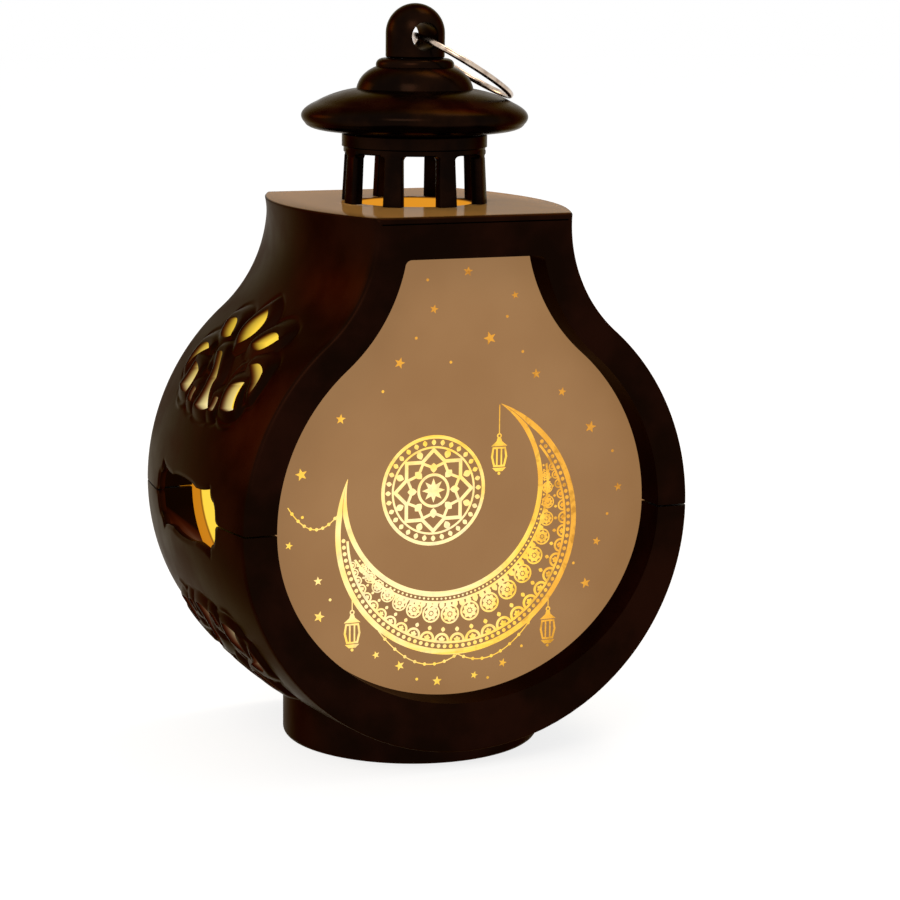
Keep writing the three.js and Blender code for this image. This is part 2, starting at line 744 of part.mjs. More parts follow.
function basePlate() {
  const lugRadius = doorRadius + lugProud;
  const grooveBottomZ = doorTopZ - lugHeight - fitGap;
  const locatorTopZ = bayTopZ + locatorHeight;
  let plate = unite(
    rod(plateRadius, plateRecess, plateTopZ, 0, 0, roundSides),
    rod(bayRadius, plateTopZ - bayRoof, bayTopZ, 0, 0, roundSides),
    rod(locatorRadius, bayTopZ - bayRoof / 2, locatorTopZ, 0, 0, middleSides),
  );
  plate = cut(plate, rod(locatorRadius - locatorWall, bayTopZ, 2 * locatorTopZ, 0, 0, middleSides));
  plate = cut(plate, rod(doorRadius + fitGap, 0, doorTopZ + fitGap, 0, 0, roundSides));
  plate = cut(plate, rod(lugRadius + fitGap, grooveBottomZ, doorTopZ + fitGap, 0, 0, roundSides));
  for (const turn of [0, 180]) {
    const gate = turn + doorTurnRange;
    const arcWidth = lugArc + lugPlay;
    plate = cut(plate, sector(lugRadius + fitGap, doorRadius - lugProud, arcWidth, gate, 0, doorTopZ));
  }
  const cells = cellPlaces();
  for (const [x, y] of cells) plate = cut(plate, rod(pocketRadius, 0, bayCeilingZ, x, y, middleSides));
  plate = cut(plate, contactStrip(cells[0], cells[1], topContactZ, fitGap));
  plate = cut(plate, contactStrip(cells[1], cells[2], doorContactZ, fitGap));
  for (const side of [-1, 1]) {
    plate = cut(plate, rod(wireHoleRadius, 0, bayTopZ + bayRoof, side * wireSpread, 0, finestSides));
  }
  for (const [x, y] of screwPlaces()) {
    const headZ = plateRecess + screwHeadHeight + fitGap;
    plate = cut(plate, rod(screwHeadRadius + fitGap, 0, headZ, x, y));
    plate = cut(plate, rod(screwRadius + fitGap, 0, 2 * plateTopZ, x, y, finestSides));
  }
  const slot = sliderStemLength + switchTravel + 2 * fitGap;
  return cut(plate, block(slot, sliderStemWidth + 2 * fitGap, 0, 2 * plateTopZ, 0, switchY));
}

function baseScrew(x, y) {
  const headTop = plateRecess + screwHeadHeight;
  const head = rod(screwHeadRadius, plateRecess, headTop, x, y);
  const shank = rod(screwRadius, headTop - screwSlotWidth, headTop + screwLength, x, y, finestSides);
  const slots = [[screwSlotLength, screwSlotWidth], [screwSlotWidth, screwSlotLength]];
  const slotTopZ = plateRecess + screwHeadHeight / 2;
  const cross = slots.map(([lengthX, lengthY]) => block(lengthX, lengthY, 0, slotTopZ, x, y));
  return cut(unite(head, shank), ...cross);
}

function batteryDoor() {
  let door = rod(doorRadius, plateRecess, doorTopZ, 0, 0, roundSides);
  const [lugOuter, lugInner] = [doorRadius + lugProud, doorRadius - lugProud];
  for (const turn of [0, 180]) {
    door = door.add(sector(lugOuter, lugInner, lugArc, turn, doorTopZ - lugHeight, doorTopZ));
  }
  return cut(door, block(coinSlotLength, coinSlotWidth, 0, plateRecess + coinSlotDepth));
}

function cell(x, y) {
  const can = revolve([
    new THREE.Vector2(0, cellZ),
    new THREE.Vector2(cellRadius - cellCapInset, cellZ),
    new THREE.Vector2(cellRadius - cellCapInset, cellZ + cellEdge),
    new THREE.Vector2(cellRadius, cellZ + 2 * cellEdge),
    new THREE.Vector2(cellRadius, cellZ + cellHeight - cellEdge),
    new THREE.Vector2(cellRadius - cellEdge, cellZ + cellHeight),
    new THREE.Vector2(0, cellZ + cellHeight),
  ], 16);
  return can.translate([x, y, 0]);
}

// A flat strip from one cell to the next, round at both ends, and grown by a margin for its seat.
function contactStrip(from, to, bottomZ, margin = 0) {
  const [a, b] = [new THREE.Vector2(...from), new THREE.Vector2(...to)];
  const heading = b.clone().sub(a).angle();
  const radius = contactWidth / 2 + margin;
  const shape = new THREE.Shape();
  shape.absarc(b.x, b.y, radius, heading - Math.PI / 2, heading + Math.PI / 2, false);
  shape.absarc(a.x, a.y, radius, heading + Math.PI / 2, heading + 1.5 * Math.PI, false);
  return upright(shape, bottomZ - margin, bottomZ + contactThickness + margin, 4);
}

// Switch

function switchHousing() {
  const bottomZ = plateTopZ + fitGap;
  const box = block(switchLength, switchWidth, bottomZ, bottomZ + switchHeight, 0, switchY);
  const roomTop = bottomZ + 2 * fitGap + sliderFlangeHeight;
  const room = block(switchLength - 2 * switchWall, switchWidth - 2 * switchWall, 0, roomTop, 0, switchY);
  return cut(box, room);
}

function switchSlider() {
  const flangeZ = plateTopZ + fitGap;
  const width = switchWidth - 2 * switchWall - 2 * fitGap;
  const x = -switchTravel / 2;
  const flange = block(sliderFlangeLength, width, flangeZ, flangeZ + sliderFlangeHeight, x, switchY);
  const stemTop = flangeZ + sliderFlangeHeight / 2;
  const stem = block(sliderStemLength, sliderStemWidth, plateTopZ - sliderProud, stemTop, x, switchY);
  return unite(flange, stem);
}

// Candle

function candleBody() {
  const ceilingZ = candleTopZ - candleTop;
  return revolve([
    new THREE.Vector2(candleBore, candleFootZ),
    new THREE.Vector2(candleRadius, candleFootZ),
    new THREE.Vector2(candleRadius, candleTopZ - candleRimHeight / 2),
    new THREE.Vector2(candleRadius - candleWall / 2, candleTopZ),
    new THREE.Vector2(candleRadius - candleWall, candleTopZ - candleRimHeight / 2),
    new THREE.Vector2(flameFootRadius + candleWall, candleTopZ - candleRimHeight),
    new THREE.Vector2(ledHoleRadius, candleTopZ - candleRimHeight),
    new THREE.Vector2(ledHoleRadius, ceilingZ + boardDrop),
    new THREE.Vector2(candleBore - candleWall, ceilingZ + boardDrop),
    new THREE.Vector2(candleBore - candleWall, ceilingZ),
    new THREE.Vector2(candleBore, ceilingZ),
    new THREE.Vector2(candleBore, candleFootZ),
  ], middleSides);
}

function flameBulb() {
  const footZ = candleTopZ - candleRimHeight + fitGap;
  const bellyZ = footZ + flameHeight * 0.3;
  const neckZ = footZ + flameHeight * 0.7;
  const outer = new THREE.Path();
  outer.moveTo(flameFootRadius, footZ);
  outer.bezierCurveTo(flameBellyPull, bellyZ, flameNeckPull, neckZ, 0, footZ + flameHeight);
  const inner = new THREE.Path();
  const innerPull = flameBellyPull - 2 * flameWall;
  const innerNeckZ = footZ + flameHeight / 2;
  inner.moveTo(0, footZ + flameHeight * 0.62);
  inner.bezierCurveTo(flameNeckPull, innerNeckZ, innerPull, bellyZ, flameFootRadius - flameWall, footZ);
  const foot = new THREE.Vector2(flameFootRadius, footZ);
  return revolve([...outer.getPoints(8), ...inner.getPoints(5), foot], middleSides);
}

function led() {
  const bottomZ = boardTopZ + fitGap;
  const domeZ = bottomZ + ledHeight - ledRadius;
  return revolve([
    new THREE.Vector2(0, bottomZ),
    new THREE.Vector2(ledRadius + ledFlange, bottomZ),
    new THREE.Vector2(ledRadius + ledFlange, bottomZ + ledFlangeHeight),
    new THREE.Vector2(ledRadius, bottomZ + ledFlangeHeight),
    ...arc(0, domeZ, ledRadius, ledRadius, 0, Math.PI / 2, 4),
  ], 16);
}

// A lead from the roof of the cell bay up to the board, with a lazy bend.
function leadWire(side) {
  const bottom = new THREE.Vector3(side * wireSpread, 0, bayCeilingZ + fitGap);
  const top = new THREE.Vector3(side * wireSpread, 0, boardTopZ - boardThickness - fitGap);
  const rise = new THREE.Vector3(0, 0, (top.z - bottom.z) / 3);
  const bend = new THREE.Vector3(-side * wireBend, wireSpread / 2, 0);
  const curve = new THREE.CubicBezierCurve3(
    bottom, bottom.clone().add(rise), top.clone().sub(rise).add(bend), top);
  const section = new THREE.Shape();
  section.absarc(0, 0, wireRadius, 0, 2 * Math.PI, false);
  const geometry = new THREE.ExtrudeGeometry(section, { extrudePath: curve, steps: 10, curveSegments: 4 });
  return toSolid(geometry);
}

// Colours and finish
const plastic = { color: 0x1d1410, roughness: 0.38, metalness: 0 };
const darkPlastic = { color: 0x15100d, roughness: 0.5, metalness: 0 };
const finishes = {
  shell: plastic,
  panel: { color: 0xa07850, roughness: 0.3, metalness: 0 },
  steel: { color: 0x9a8678, roughness: 0.25, metalness: 1 },
  base: darkPlastic,
  candle: { color: 0xf2e6c8, roughness: 0.55, metalness: 0 },
  flame: { color: 0xffb347, roughness: 0.3, metalness: 0 },
  clear: { color: 0xfff1c9, roughness: 0.1, metalness: 0 },
  board: { color: 0x1f5a33, roughness: 0.6, metalness: 0 },
  brass: { color: 0xc9a24e, roughness: 0.3, metalness: 1 },
  nickel: { color: 0xc4c6c8, roughness: 0.25, metalness: 1 },
  slider: { color: 0xe6e6e2, roughness: 0.5, metalness: 0 },
  red: { color: 0xb3261e, roughness: 0.5, metalness: 0 },
  black: { color: 0x17171a, roughness: 0.5, metalness: 0 },
};

const lantern = new THREE.Group();

function addPiece(name, solid, finish) {
  const mesh = new THREE.Mesh(toGeometry(solid), new THREE.MeshStandardMaterial(finishes[finish]));
  mesh.name = name;
  lantern.add(mesh);
}

const body = shellsSolid();
addPiece('upper_shell', upperShell(body), 'shell');
addPiece('lower_shell', lowerShell(body), 'shell');
addPiece('front_panel', panel(-halfDepth + frameDepth + fitGap), 'panel');
addPiece('back_panel', panel(halfDepth - frameDepth - fitGap - panelThickness), 'panel');
addPiece('gallery', gallery(), 'shell');
addPiece('roof', roof(), 'shell');
addPiece('finial_knob', knob(), 'shell');

const ring = ringMesh(new THREE.MeshStandardMaterial(finishes.steel));
ring.name = 'hanging_ring';
lantern.add(ring);

addPiece('base_plate', basePlate(), 'base');
screwPlaces().forEach(([x, y], i) => addPiece(`base_screw_${i + 1}`, baseScrew(x, y), 'nickel'));
addPiece('battery_door', batteryDoor(), 'base');
cellPlaces().forEach(([x, y], i) => addPiece(`button_cell_${i + 1}`, cell(x, y), 'nickel'));
const cells = cellPlaces();
const tabEnd = [cells[2][0], cells[2][1] + contactWidth / 2];
addPiece('contact_link_top', contactStrip(cells[0], cells[1], topContactZ), 'brass');
addPiece('contact_tab_top', contactStrip(cells[2], tabEnd, topContactZ), 'brass');
addPiece('contact_link_door', contactStrip(cells[1], cells[2], doorContactZ), 'brass');
addPiece('switch_housing', switchHousing(), 'nickel');
addPiece('switch_slider', switchSlider(), 'slider');
addPiece('candle_body', candleBody(), 'candle');
const boardSolid = rod(boardRadius, boardTopZ - boardThickness, boardTopZ, 0, 0, middleSides);
addPiece('circuit_board', boardSolid, 'board');
addPiece('led', led(), 'clear');
addPiece('flame_bulb', flameBulb(), 'flame');
addPiece('lead_wire_red', leadWire(-1), 'red');
addPiece('lead_wire_black', leadWire(1), 'black');

export default lantern;
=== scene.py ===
import math

import bpy
import numpy as np
from mathutils import Matrix, Vector
from mathutils.geometry import delaunay_2d_cdt, tessellate_polygon


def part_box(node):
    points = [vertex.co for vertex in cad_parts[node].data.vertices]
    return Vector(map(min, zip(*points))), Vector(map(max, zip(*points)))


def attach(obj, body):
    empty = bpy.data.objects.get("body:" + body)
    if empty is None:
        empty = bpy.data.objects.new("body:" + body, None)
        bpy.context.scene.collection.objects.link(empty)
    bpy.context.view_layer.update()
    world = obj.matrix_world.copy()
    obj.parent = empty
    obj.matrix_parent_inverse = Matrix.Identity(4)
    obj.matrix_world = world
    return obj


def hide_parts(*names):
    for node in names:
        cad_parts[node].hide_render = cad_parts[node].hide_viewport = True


# Looks for the candle lantern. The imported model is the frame, in metres. Sizes below are millimetres.
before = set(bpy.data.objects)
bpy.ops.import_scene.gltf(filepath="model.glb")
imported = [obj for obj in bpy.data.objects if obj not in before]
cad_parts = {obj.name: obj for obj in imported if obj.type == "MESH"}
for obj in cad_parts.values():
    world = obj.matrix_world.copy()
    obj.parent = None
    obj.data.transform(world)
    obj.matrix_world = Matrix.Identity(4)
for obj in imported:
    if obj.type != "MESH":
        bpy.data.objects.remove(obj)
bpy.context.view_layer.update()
mm = 0.001


def lowCorner(node):
    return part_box(node)[0] / mm


def highCorner(node):
    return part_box(node)[1] / mm


def addObject(name, data):
    item = bpy.data.objects.new(name, data)
    bpy.context.scene.collection.objects.link(item)
    return item


# Camera at the photograph's angle
cameraSetup = {
    "azimuth": -23.2104, "elevation": 10.3185, "roll": 0.5991, "place": (-181.096, -439.486, 137.959),
    "lens": 108.41, "sensor": 36, "clip": (0.01, 20),
}


def addCamera(setup):
    data = bpy.data.cameras.new("photoCamera")
    data.lens, data.sensor_width = setup["lens"], setup["sensor"]
    data.clip_start, data.clip_end = setup["clip"]
    camera = addObject("photoCamera", data)
    camera.matrix_world = Matrix.Translation(Vector(setup["place"]) * mm)
    for degrees, axis in ((setup["azimuth"], "Z"), (90 - setup["elevation"], "X"), (setup["roll"], "Z")):
        camera.matrix_world @= Matrix.Rotation(math.radians(degrees), 4, axis)
    bpy.context.scene.camera = camera


addCamera(cameraSetup)
print("camera placed")


# Mesh helpers
def addMesh(name, points, faces, material=None, sharpAngle=35):
    mesh = bpy.data.meshes.new(name)
    mesh.from_pydata([tuple(float(c) * mm for c in p) for p in points], [], [tuple(f) for f in faces])
    mesh.validate()
    if material:
        mesh.materials.append(material)
    smoothMesh(mesh, sharpAngle)
    if len(faces):
        turnOutwards(mesh)
    return addObject(name, mesh)


# Round faces shade smoothly and edges past the angle stay crisp.
def smoothMesh(mesh, sharpAngle):
    mesh.shade_smooth()
    mesh.set_sharp_from_angle(angle=math.radians(sharpAngle))


def settle(piece):
    depsgraph = bpy.context.evaluated_depsgraph_get()
    mesh = bpy.data.meshes.new_from_object(piece.evaluated_get(depsgraph))
    old = piece.data
    piece.modifiers.clear()
    piece.data = mesh
    mesh.name = piece.name
    bpy.data.meshes.remove(old)


def carve(piece, tool, operation="DIFFERENCE"):
    change = piece.modifiers.new("carve", "BOOLEAN")
    change.operation = operation
    change.solver = "MANIFOLD"
    change.object = tool
    bpy.context.view_layer.update()
    settle(piece)
    bpy.data.objects.remove(tool)


# Stacked rings of equal length, closed by flat ends.
def loftMesh(name, rings, sharpAngle=35):
    count = len(rings[0])
    last = count * (len(rings) - 1)
    faces = [(r + i, r + (i + 1) % count, r + count + (i + 1) % count, r + count + i)
             for r in range(0, last, count) for i in range(count)]
    faces += [tuple(reversed(range(count))), tuple(range(last, last + count))]
    return addMesh(name, np.concatenate(rings), faces, sharpAngle=sharpAngle)


def turnOutwards(mesh):
    mesh.calc_loop_triangles()
    corners = np.array([t.vertices for t in mesh.loop_triangles])
    at = np.array([v.co for v in mesh.vertices])
    a, b, c = (at[corners[:, i]] for i in range(3))
    if np.einsum("ij,ij->i", a, np.cross(b, c)).sum() < 0:
        mesh.flip_normals()


# A profile of (radius, height) turned about the upright axis. Points on the axis become one vertex.
def lathe(name, profile, material=None, sides=96, sharpAngle=35):
    points, faces, rows = [], [], []
    for radius, height in profile:
        count = sides if radius > 0 else 1
        rows.append(range(len(points), len(points) + count))
        for angle in (2 * math.pi * i / sides for i in range(count)):
            points.append((radius * math.cos(angle), radius * math.sin(angle), height))
    closed = profile[0][0] > 0
    for low, high in list(zip(rows, rows[1:])) + [(rows[-1], rows[0])] * closed:
        for i, j in zip(range(sides), range(1, sides + 1)):
            corners = [low[i % len(low)], low[j % len(low)], high[j % len(high)], high[i % len(high)]]
            face = list(dict.fromkeys(corners))
            if len(face) > 2:
                faces.append(face)
    return addMesh(name, points, faces, material, sharpAngle)


def arcPoints(x, z, radiusX, radiusZ, fromDegrees, toDegrees, steps):
    angles = np.radians(np.linspace(fromDegrees, toDegrees, steps + 1))
    return np.stack([x + radiusX * np.cos(angles), z + radiusZ * np.sin(angles)], axis=1)


def bendPoints(start, control, end, steps):
    t = np.linspace(0, 1, steps + 1)[:, None]
    start, control, end = (np.array(p, float) for p in (start, control, end))
    return (1 - t) ** 2 * start + 2 * t * (1 - t) * control + t * t * end


# One path through curves given as (control point, end point).
def curvePath(start, curves, steps):
    points = [np.array([start], float)]
    for control, end in curves:
        points.append(bendPoints(points[-1][-1], control, end, steps)[1:])
    return np.concatenate(points)


def rounded(t):
    t = np.clip(t, 0, 1)
    return t * t * (3 - 2 * t)


# A node tree whose inputs take plain values or other nodes' outputs, by name
class Nodes:
    def __init__(self, tree):
        self.tree = tree

    def add(self, kind, settings=None, **inputs):
        node = self.tree.nodes.new(kind)
        for key, value in (settings or {}).items():
            setattr(node, key, value)
        self.feed(node, **inputs)
        return node

    def feed(self, node, **inputs):
        for key, value in inputs.items():
            self.give(node.inputs[key.replace("_", " ")], value)

    def give(self, socket, value):
        if isinstance(value, bpy.types.NodeSocket):
            self.tree.links.new(value, socket)
        else:
            socket.default_value = value

    def math(self, operation, first, second):
        node = self.add("ShaderNodeMath", {"operation": operation})
        self.give(node.inputs[0], first)
        self.give(node.inputs[1], second)
        return node.outputs[0]

    def spread(self, value, fromLow, fromHigh, toLow=0, toHigh=1):
        node = self.add("ShaderNodeMapRange", {"interpolation_type": "SMOOTHSTEP"}, Value=value,
                        From_Min=fromLow, From_Max=fromHigh, To_Min=toLow, To_Max=toHigh)
        return node.outputs["Result"]

    # 1 where the viewer looks, straight, in a gloss or through a clear piece
    def looked(self):
        rays = self.add("ShaderNodeLightPath").outputs
        seen = self.math("MAXIMUM", rays["Is Camera Ray"], rays["Is Glossy Ray"])
        return self.math("MAXIMUM", seen, rays["Is Transmission Ray"])


class Shader(Nodes):
    def __init__(self, name):
        self.material = bpy.data.materials.new(name)
        self.material.use_nodes = True
        super().__init__(self.material.node_tree)

    def set(self, **inputs):
        self.feed(self.tree.nodes["Principled BSDF"], **inputs)

    def place(self):
        return self.add("ShaderNodeTexCoord").outputs["Object"]

    def noise(self, scale, detail):
        return self.add("ShaderNodeTexNoise", Scale=scale, Detail=detail, Vector=self.place()).outputs["Fac"]

    def blend(self, amount, first, second):
        node = self.add("ShaderNodeMix", {"data_type": "RGBA"}, Factor=amount, A=first, B=second)
        return node.outputs["Result"]

    def tones(self, clouds, low, high, dark, light):
        return self.blend(self.spread(clouds, low, high), dark, light)

    def upright(self, low, high):
        parts = self.add("ShaderNodeSeparateXYZ", Vector=self.place())
        return self.spread(parts.outputs["Z"], low * mm, high * mm)

    def bump(self, height, strength):
        node = self.add("ShaderNodeBump", Strength=strength, Distance=0.1 * mm, Height=height)
        self.set(Normal=node.outputs["Normal"])

    def attribute(self, name):
        return self.add("ShaderNodeAttribute", {"attribute_name": name}).outputs["Fac"]


def colour(red, green, blue):
    channels = [c / 255 for c in (red, green, blue)]
    return [c / 12.92 if c <= 0.04045 else ((c + 0.055) / 1.055) ** 2.4 for c in channels] + [1]


# Finishes; the brown plastic has a warm metallic sheen, and its deck a second one over a smoother face
bronze = {"metallic": 0.8, "tint": (0.52, 0.47, 0.4, 1)}
deckFinish = {
    "from": 0.12, "to": 0.02, "roughness": 0.13, "metallic": 0.45, "sheen": 0.6, "sheenRoughness": 0.25,
}

# Heights between which the light from inside turns from cream to yellow and from yellow to orange
lightTurns = {"yellow": (56, 72), "orange": (80, 88)}

# Picture panels, with painted light from the candle behind them. Near the edge that light is painted as a
# dimmer orange band and a thin dark line, painted shade and no cut.
panel = {"grid": 2.5, "shine": 0.72, "strip": 1.8, "groove": 2.02, "clear": 2.3, "lampHeight": 46}


def shellPlastic():
    shader = Shader("dark brown plastic")
    clouds = shader.noise(90, 4)
    deck = highCorner("upper_shell").z
    onDeck = shader.upright(deck - deckFinish["from"], deck - deckFinish["to"])
    base = shader.tones(clouds, 0.35, 0.7, colour(17, 7, 3), colour(30, 12, 6))
    satin = shader.spread(clouds, 0.3, 0.7, 0.32, 0.44)
    roughness = shader.add("ShaderNodeMix", {"data_type": "FLOAT"}, Factor=onDeck, A=satin,
                           B=deckFinish["roughness"])
    # On the deck the base turns a lighter warm brown: a painted reflection of warm light on the smooth deck.
    # Its roughness, metallic share and sheen change there too.
    shader.set(Base_Color=shader.blend(onDeck, base, colour(50, 26, 10)), Roughness=roughness.outputs["Result"],
               Specular_IOR_Level=0, Specular_Tint=bronze["tint"],
               Metallic=shader.spread(onDeck, 0, 1, bronze["metallic"], deckFinish["metallic"]),
               Sheen_Weight=shader.spread(onDeck, 0, 1, 0, deckFinish["sheen"]),
               Sheen_Roughness=deckFinish["sheenRoughness"], Sheen_Tint=(1, 0.5, 0.12, 1))
    # Painted light: the inner walls glow by the glow attribute, cream low down, yellow higher and orange under
    # the roof, dull red where faint.
    glow = shader.attribute("glow")
    lit = shader.blend(shader.upright(*lightTurns["yellow"]), colour(253, 238, 180), colour(254, 212, 68))
    lit = shader.blend(shader.upright(*lightTurns["orange"]), lit, colour(226, 148, 38))
    lit = shader.tones(glow, 0.05, 0.6, colour(150, 50, 10), lit)
    shader.set(Emission_Color=lit, Emission_Strength=glow)
    shader.bump(shader.blend(0.5, shader.noise(1400, 2), clouds), 0.12)
    return shader.material


def trimPlastic():
    shader = Shader("polished brown plastic")
    clouds = shader.noise(160, 4)
    shader.set(Base_Color=shader.tones(clouds, 0.35, 0.7, colour(15, 8, 5), colour(28, 14, 7)),
               Roughness=shader.spread(clouds, 0.3, 0.7, 0.2, 0.32), Metallic=bronze["metallic"],
               Specular_Tint=bronze["tint"], Specular_IOR_Level=0)
    shader.bump(shader.noise(1700, 2), 0.1)
    return shader.material


def panelAcrylic():
    shader = Shader("tinted acrylic panel")
    clouds = shader.noise(40, 3)
    base = shader.tones(clouds, 0.3, 0.75, colour(160, 118, 76), colour(170, 128, 85))
    # Painted light: the outer face glows evenly in the panel's own colour over a darkened base. The inner face
    # has a painted pool of lamp light, yellow round the lamp's height, with a painted dimmer orange band and a
    # painted dark line near the edge.
    inside = shader.attribute("inside")
    away = shader.add("ShaderNodeVectorMath", {"operation": "DISTANCE"}, Vector=shader.place())
    away.inputs[1].default_value = (0, 0, panel["lampHeight"] * mm)
    lit = shader.tones(away.outputs["Value"], 0.02, 0.06, colour(255, 222, 78), colour(250, 200, 52))
    lit = shader.blend(shader.attribute("strip"), lit, colour(192, 120, 16))
    lit = shader.blend(shader.attribute("groove"), lit, colour(112, 70, 6))
    shader.set(Base_Color=shader.blend(0.7, base, (0, 0, 0, 1)),
               Roughness=shader.spread(clouds, 0.3, 0.7, 0.3, 0.4),
               Specular_IOR_Level=0.1, Emission_Color=shader.blend(inside, base, lit),
               Emission_Strength=shader.spread(inside, 0, 1, panel["shine"], 1))
    shader.bump(shader.noise(900, 2), 0.04)
    return shader.material


def goldFoil():
    shader = Shader("gold foil")
    flecks = shader.noise(700, 4)
    # Painted light: the foil glows by the lit attribute, from dull amber to near white where the candle behind
    # shines through most.
    lit = shader.add("ShaderNodeValToRGB", Fac=shader.attribute("lit"))
    stops = lit.color_ramp.elements
    stops[0].color, stops[1].color = colour(158, 98, 22), colour(255, 250, 196)
    for at, tone in ((0.35, colour(206, 150, 46)), (0.62, colour(250, 214, 84))):
        stops.new(at).color = tone
    shader.set(Base_Color=shader.tones(flecks, 0.32, 0.5, colour(132, 84, 22), colour(196, 140, 48)),
               Metallic=0.6, Roughness=shader.spread(flecks, 0.3, 0.7, 0.25, 0.42),
               Emission_Color=lit.outputs["Color"], Emission_Strength=0.85)
    shader.bump(flecks, 0.08)
    return shader.material


def mattePlastic(name, dark, light, low=0.45, high=0.6):
    shader = Shader(name)
    clouds = shader.noise(200, 4)
    shader.set(Base_Color=shader.tones(clouds, 0.3, 0.7, dark, light),
               Roughness=shader.spread(clouds, 0.3, 0.7, low, high))
    shader.bump(shader.noise(2200, 2), 0.15)
    return shader.material


def bareMetal(name, dark, light, grain=(500, 4), low=0.2, high=0.34, relief=0.05):
    shader = Shader(name)
    streaks = shader.noise(*grain)
    shader.set(Base_Color=shader.tones(streaks, 0.3, 0.7, dark, light), Metallic=1,
               Roughness=shader.spread(streaks, 0.3, 0.7, low, high))
    shader.bump(streaks, relief)
    return shader.material


# Colour and glow rise with height. For the flame and the lamp this is their own light. For the candle body the
# glow and the lighter top are painted light from the flame.
def litWax(name, low, high, foot, top, strength):
    shader = Shader(name)
    height = shader.upright(foot, top)
    clouds = shader.noise(120, 3)
    base = shader.blend(height, low, high)
    shader.set(Base_Color=shader.blend(shader.spread(clouds, 0.3, 0.7, 0, 0.35), base, low),
               Roughness=shader.spread(clouds, 0.3, 0.7, 0.4, 0.55), Subsurface_Weight=0.15,
               Subsurface_Scale=2 * mm, Emission_Color=base,
               Emission_Strength=shader.math("MULTIPLY", height, strength))
    shader.bump(clouds, 0.1)
    return shader.material


finish = {
    "shell": shellPlastic(),
    "trim": trimPlastic(),
    "panel": panelAcrylic(),
    "foil": goldFoil(),
    "ring": bareMetal("plated ring wire", colour(158, 136, 120), colour(208, 190, 172),
                      (600, 3), 0.16, 0.28, 0.06),
    "base": mattePlastic("matt base plastic", colour(22, 16, 13), colour(34, 26, 20)),
    "slider": mattePlastic("pale slider plastic", colour(222, 222, 216), colour(236, 236, 230), 0.35, 0.5),
    "board": mattePlastic("green board", colour(22, 74, 40), colour(34, 96, 54), 0.4, 0.5),
    "red": mattePlastic("red insulation", colour(160, 30, 24), colour(186, 44, 34), 0.4, 0.5),
    "black": mattePlastic("black insulation", colour(20, 20, 23), colour(32, 32, 36), 0.4, 0.5),
    "nickel": bareMetal("bright nickel", colour(176, 178, 182), colour(206, 208, 210)),
    "brass": bareMetal("stamped brass", colour(186, 146, 66), colour(214, 178, 96)),
    # The candle body's glow and its lighter, warmer top are painted light from the flame above it.
    "candle": litWax("ivory candle plastic", colour(238, 220, 180), colour(255, 226, 160), 20, 36, 0.9),
    "flame": litWax("amber flame plastic", colour(255, 158, 40), colour(255, 214, 112), 30, 50, 1),
    "led": litWax("clear lamp epoxy", colour(255, 238, 190), colour(255, 246, 214), 32, 41, 1.4),
}
print("finishes made")

frameFinishes = {
    "base": ("base_plate", "battery_door"),
    "nickel": ("switch_housing", *(f"base_screw_{i}" for i in (1, 2, 3)),
               *(f"button_cell_{i}" for i in (1, 2, 3))),
    "brass": ("contact_link_top", "contact_tab_top", "contact_link_door"),
    "slider": ("switch_slider",),
    "board": ("circuit_board",),
    "led": ("led",),
    "red": ("lead_wire_red",),
    "black": ("lead_wire_black",),
}
for name, nodes in frameFinishes.items():
    for place in (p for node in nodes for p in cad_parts[node].material_slots):
        place.material = finish[name]

# Body shells, finer than the frame's and with the carved ornament
body = {
    "bellyRadius": 40.8, "bellyLift": 3.2, "neckRadius": 25.2, "neckHalfWidth": 17.6,
    "sideBulge": 2.2, "deckBulge": 6.5, "bulgeRise": 28,
    "wall": 1.2, "edgeRound": 0.7, "deckRound": 0.5,
    "ornamentHalf": 19.6, "fineStep": 0.3, "coarseStep": 2.2, "bottomArc": -58,
    "footRadius": 23, "footWall": 2.2, "footBevel": 1, "baseRoom": 2.1,
    "deckOpening": 10, "openingBevel": 0.3, "seamGap": 0.3,
    "frameWidth": 5.6, "frameBottomWidth": 8.8, "frameTopWidth": 7, "frameDepth": 6.3,
    "slotWidth": 1.8, "slotRoom": 0.3, "rib": 1.2, "panelLip": 1.6, "windowCorner": 1.2,
}
halfDepth = highCorner("upper_shell").y
deckHeight = highCorner("upper_shell").z
bellyCentre = body["bellyLift"] + body["bellyRadius"]
seamHeight = lowCorner("upper_shell").z - body["seamGap"] / 2
neckX = body["neckHalfWidth"] + body["neckRadius"]
neckZ = bellyCentre + math.sqrt((body["bellyRadius"] + body["neckRadius"]) ** 2 - neckX ** 2)
tangentTurn = math.degrees(math.atan2(neckZ - bellyCentre, neckX))
cavityHalf = halfDepth - body["frameDepth"] - body["slotWidth"] - body["rib"]

# Pierced and carved ornament, in millimetres across and up from its centre. Fades end a relief softly.
ornament = {
    "rise": 22.3, "pitch": 11.6, "reachUp": 16, "edgeFade": 0.6,
    "leafRise": 5.6, "leaf": (5.9, 7.2), "sideLeaf": (8.3, 2.9),
    "sideLean": 78, "sideOffset": 5.4, "sideRise": 6.4,
    "petalHeight": 0.75, "petalWidth": 2.1, "groove": 0.18, "grooveWidth": 0.35,
    "scrollRadius": 7.2, "scrollHeight": 0.38, "scrollPitch": 2.7, "scrollFade": 0.9, "scrollFrom": 1.512,
    "bossRadius": 1.2, "bossHeight": 0.5, "bossFade": 0.7,
}
label = {
    "halfLength": 16.6, "halfHeight": 5.7, "tip": 3.8, "wave": 0.8, "band": 8, "dip": 0.25, "dipWidth": 0.8,
}

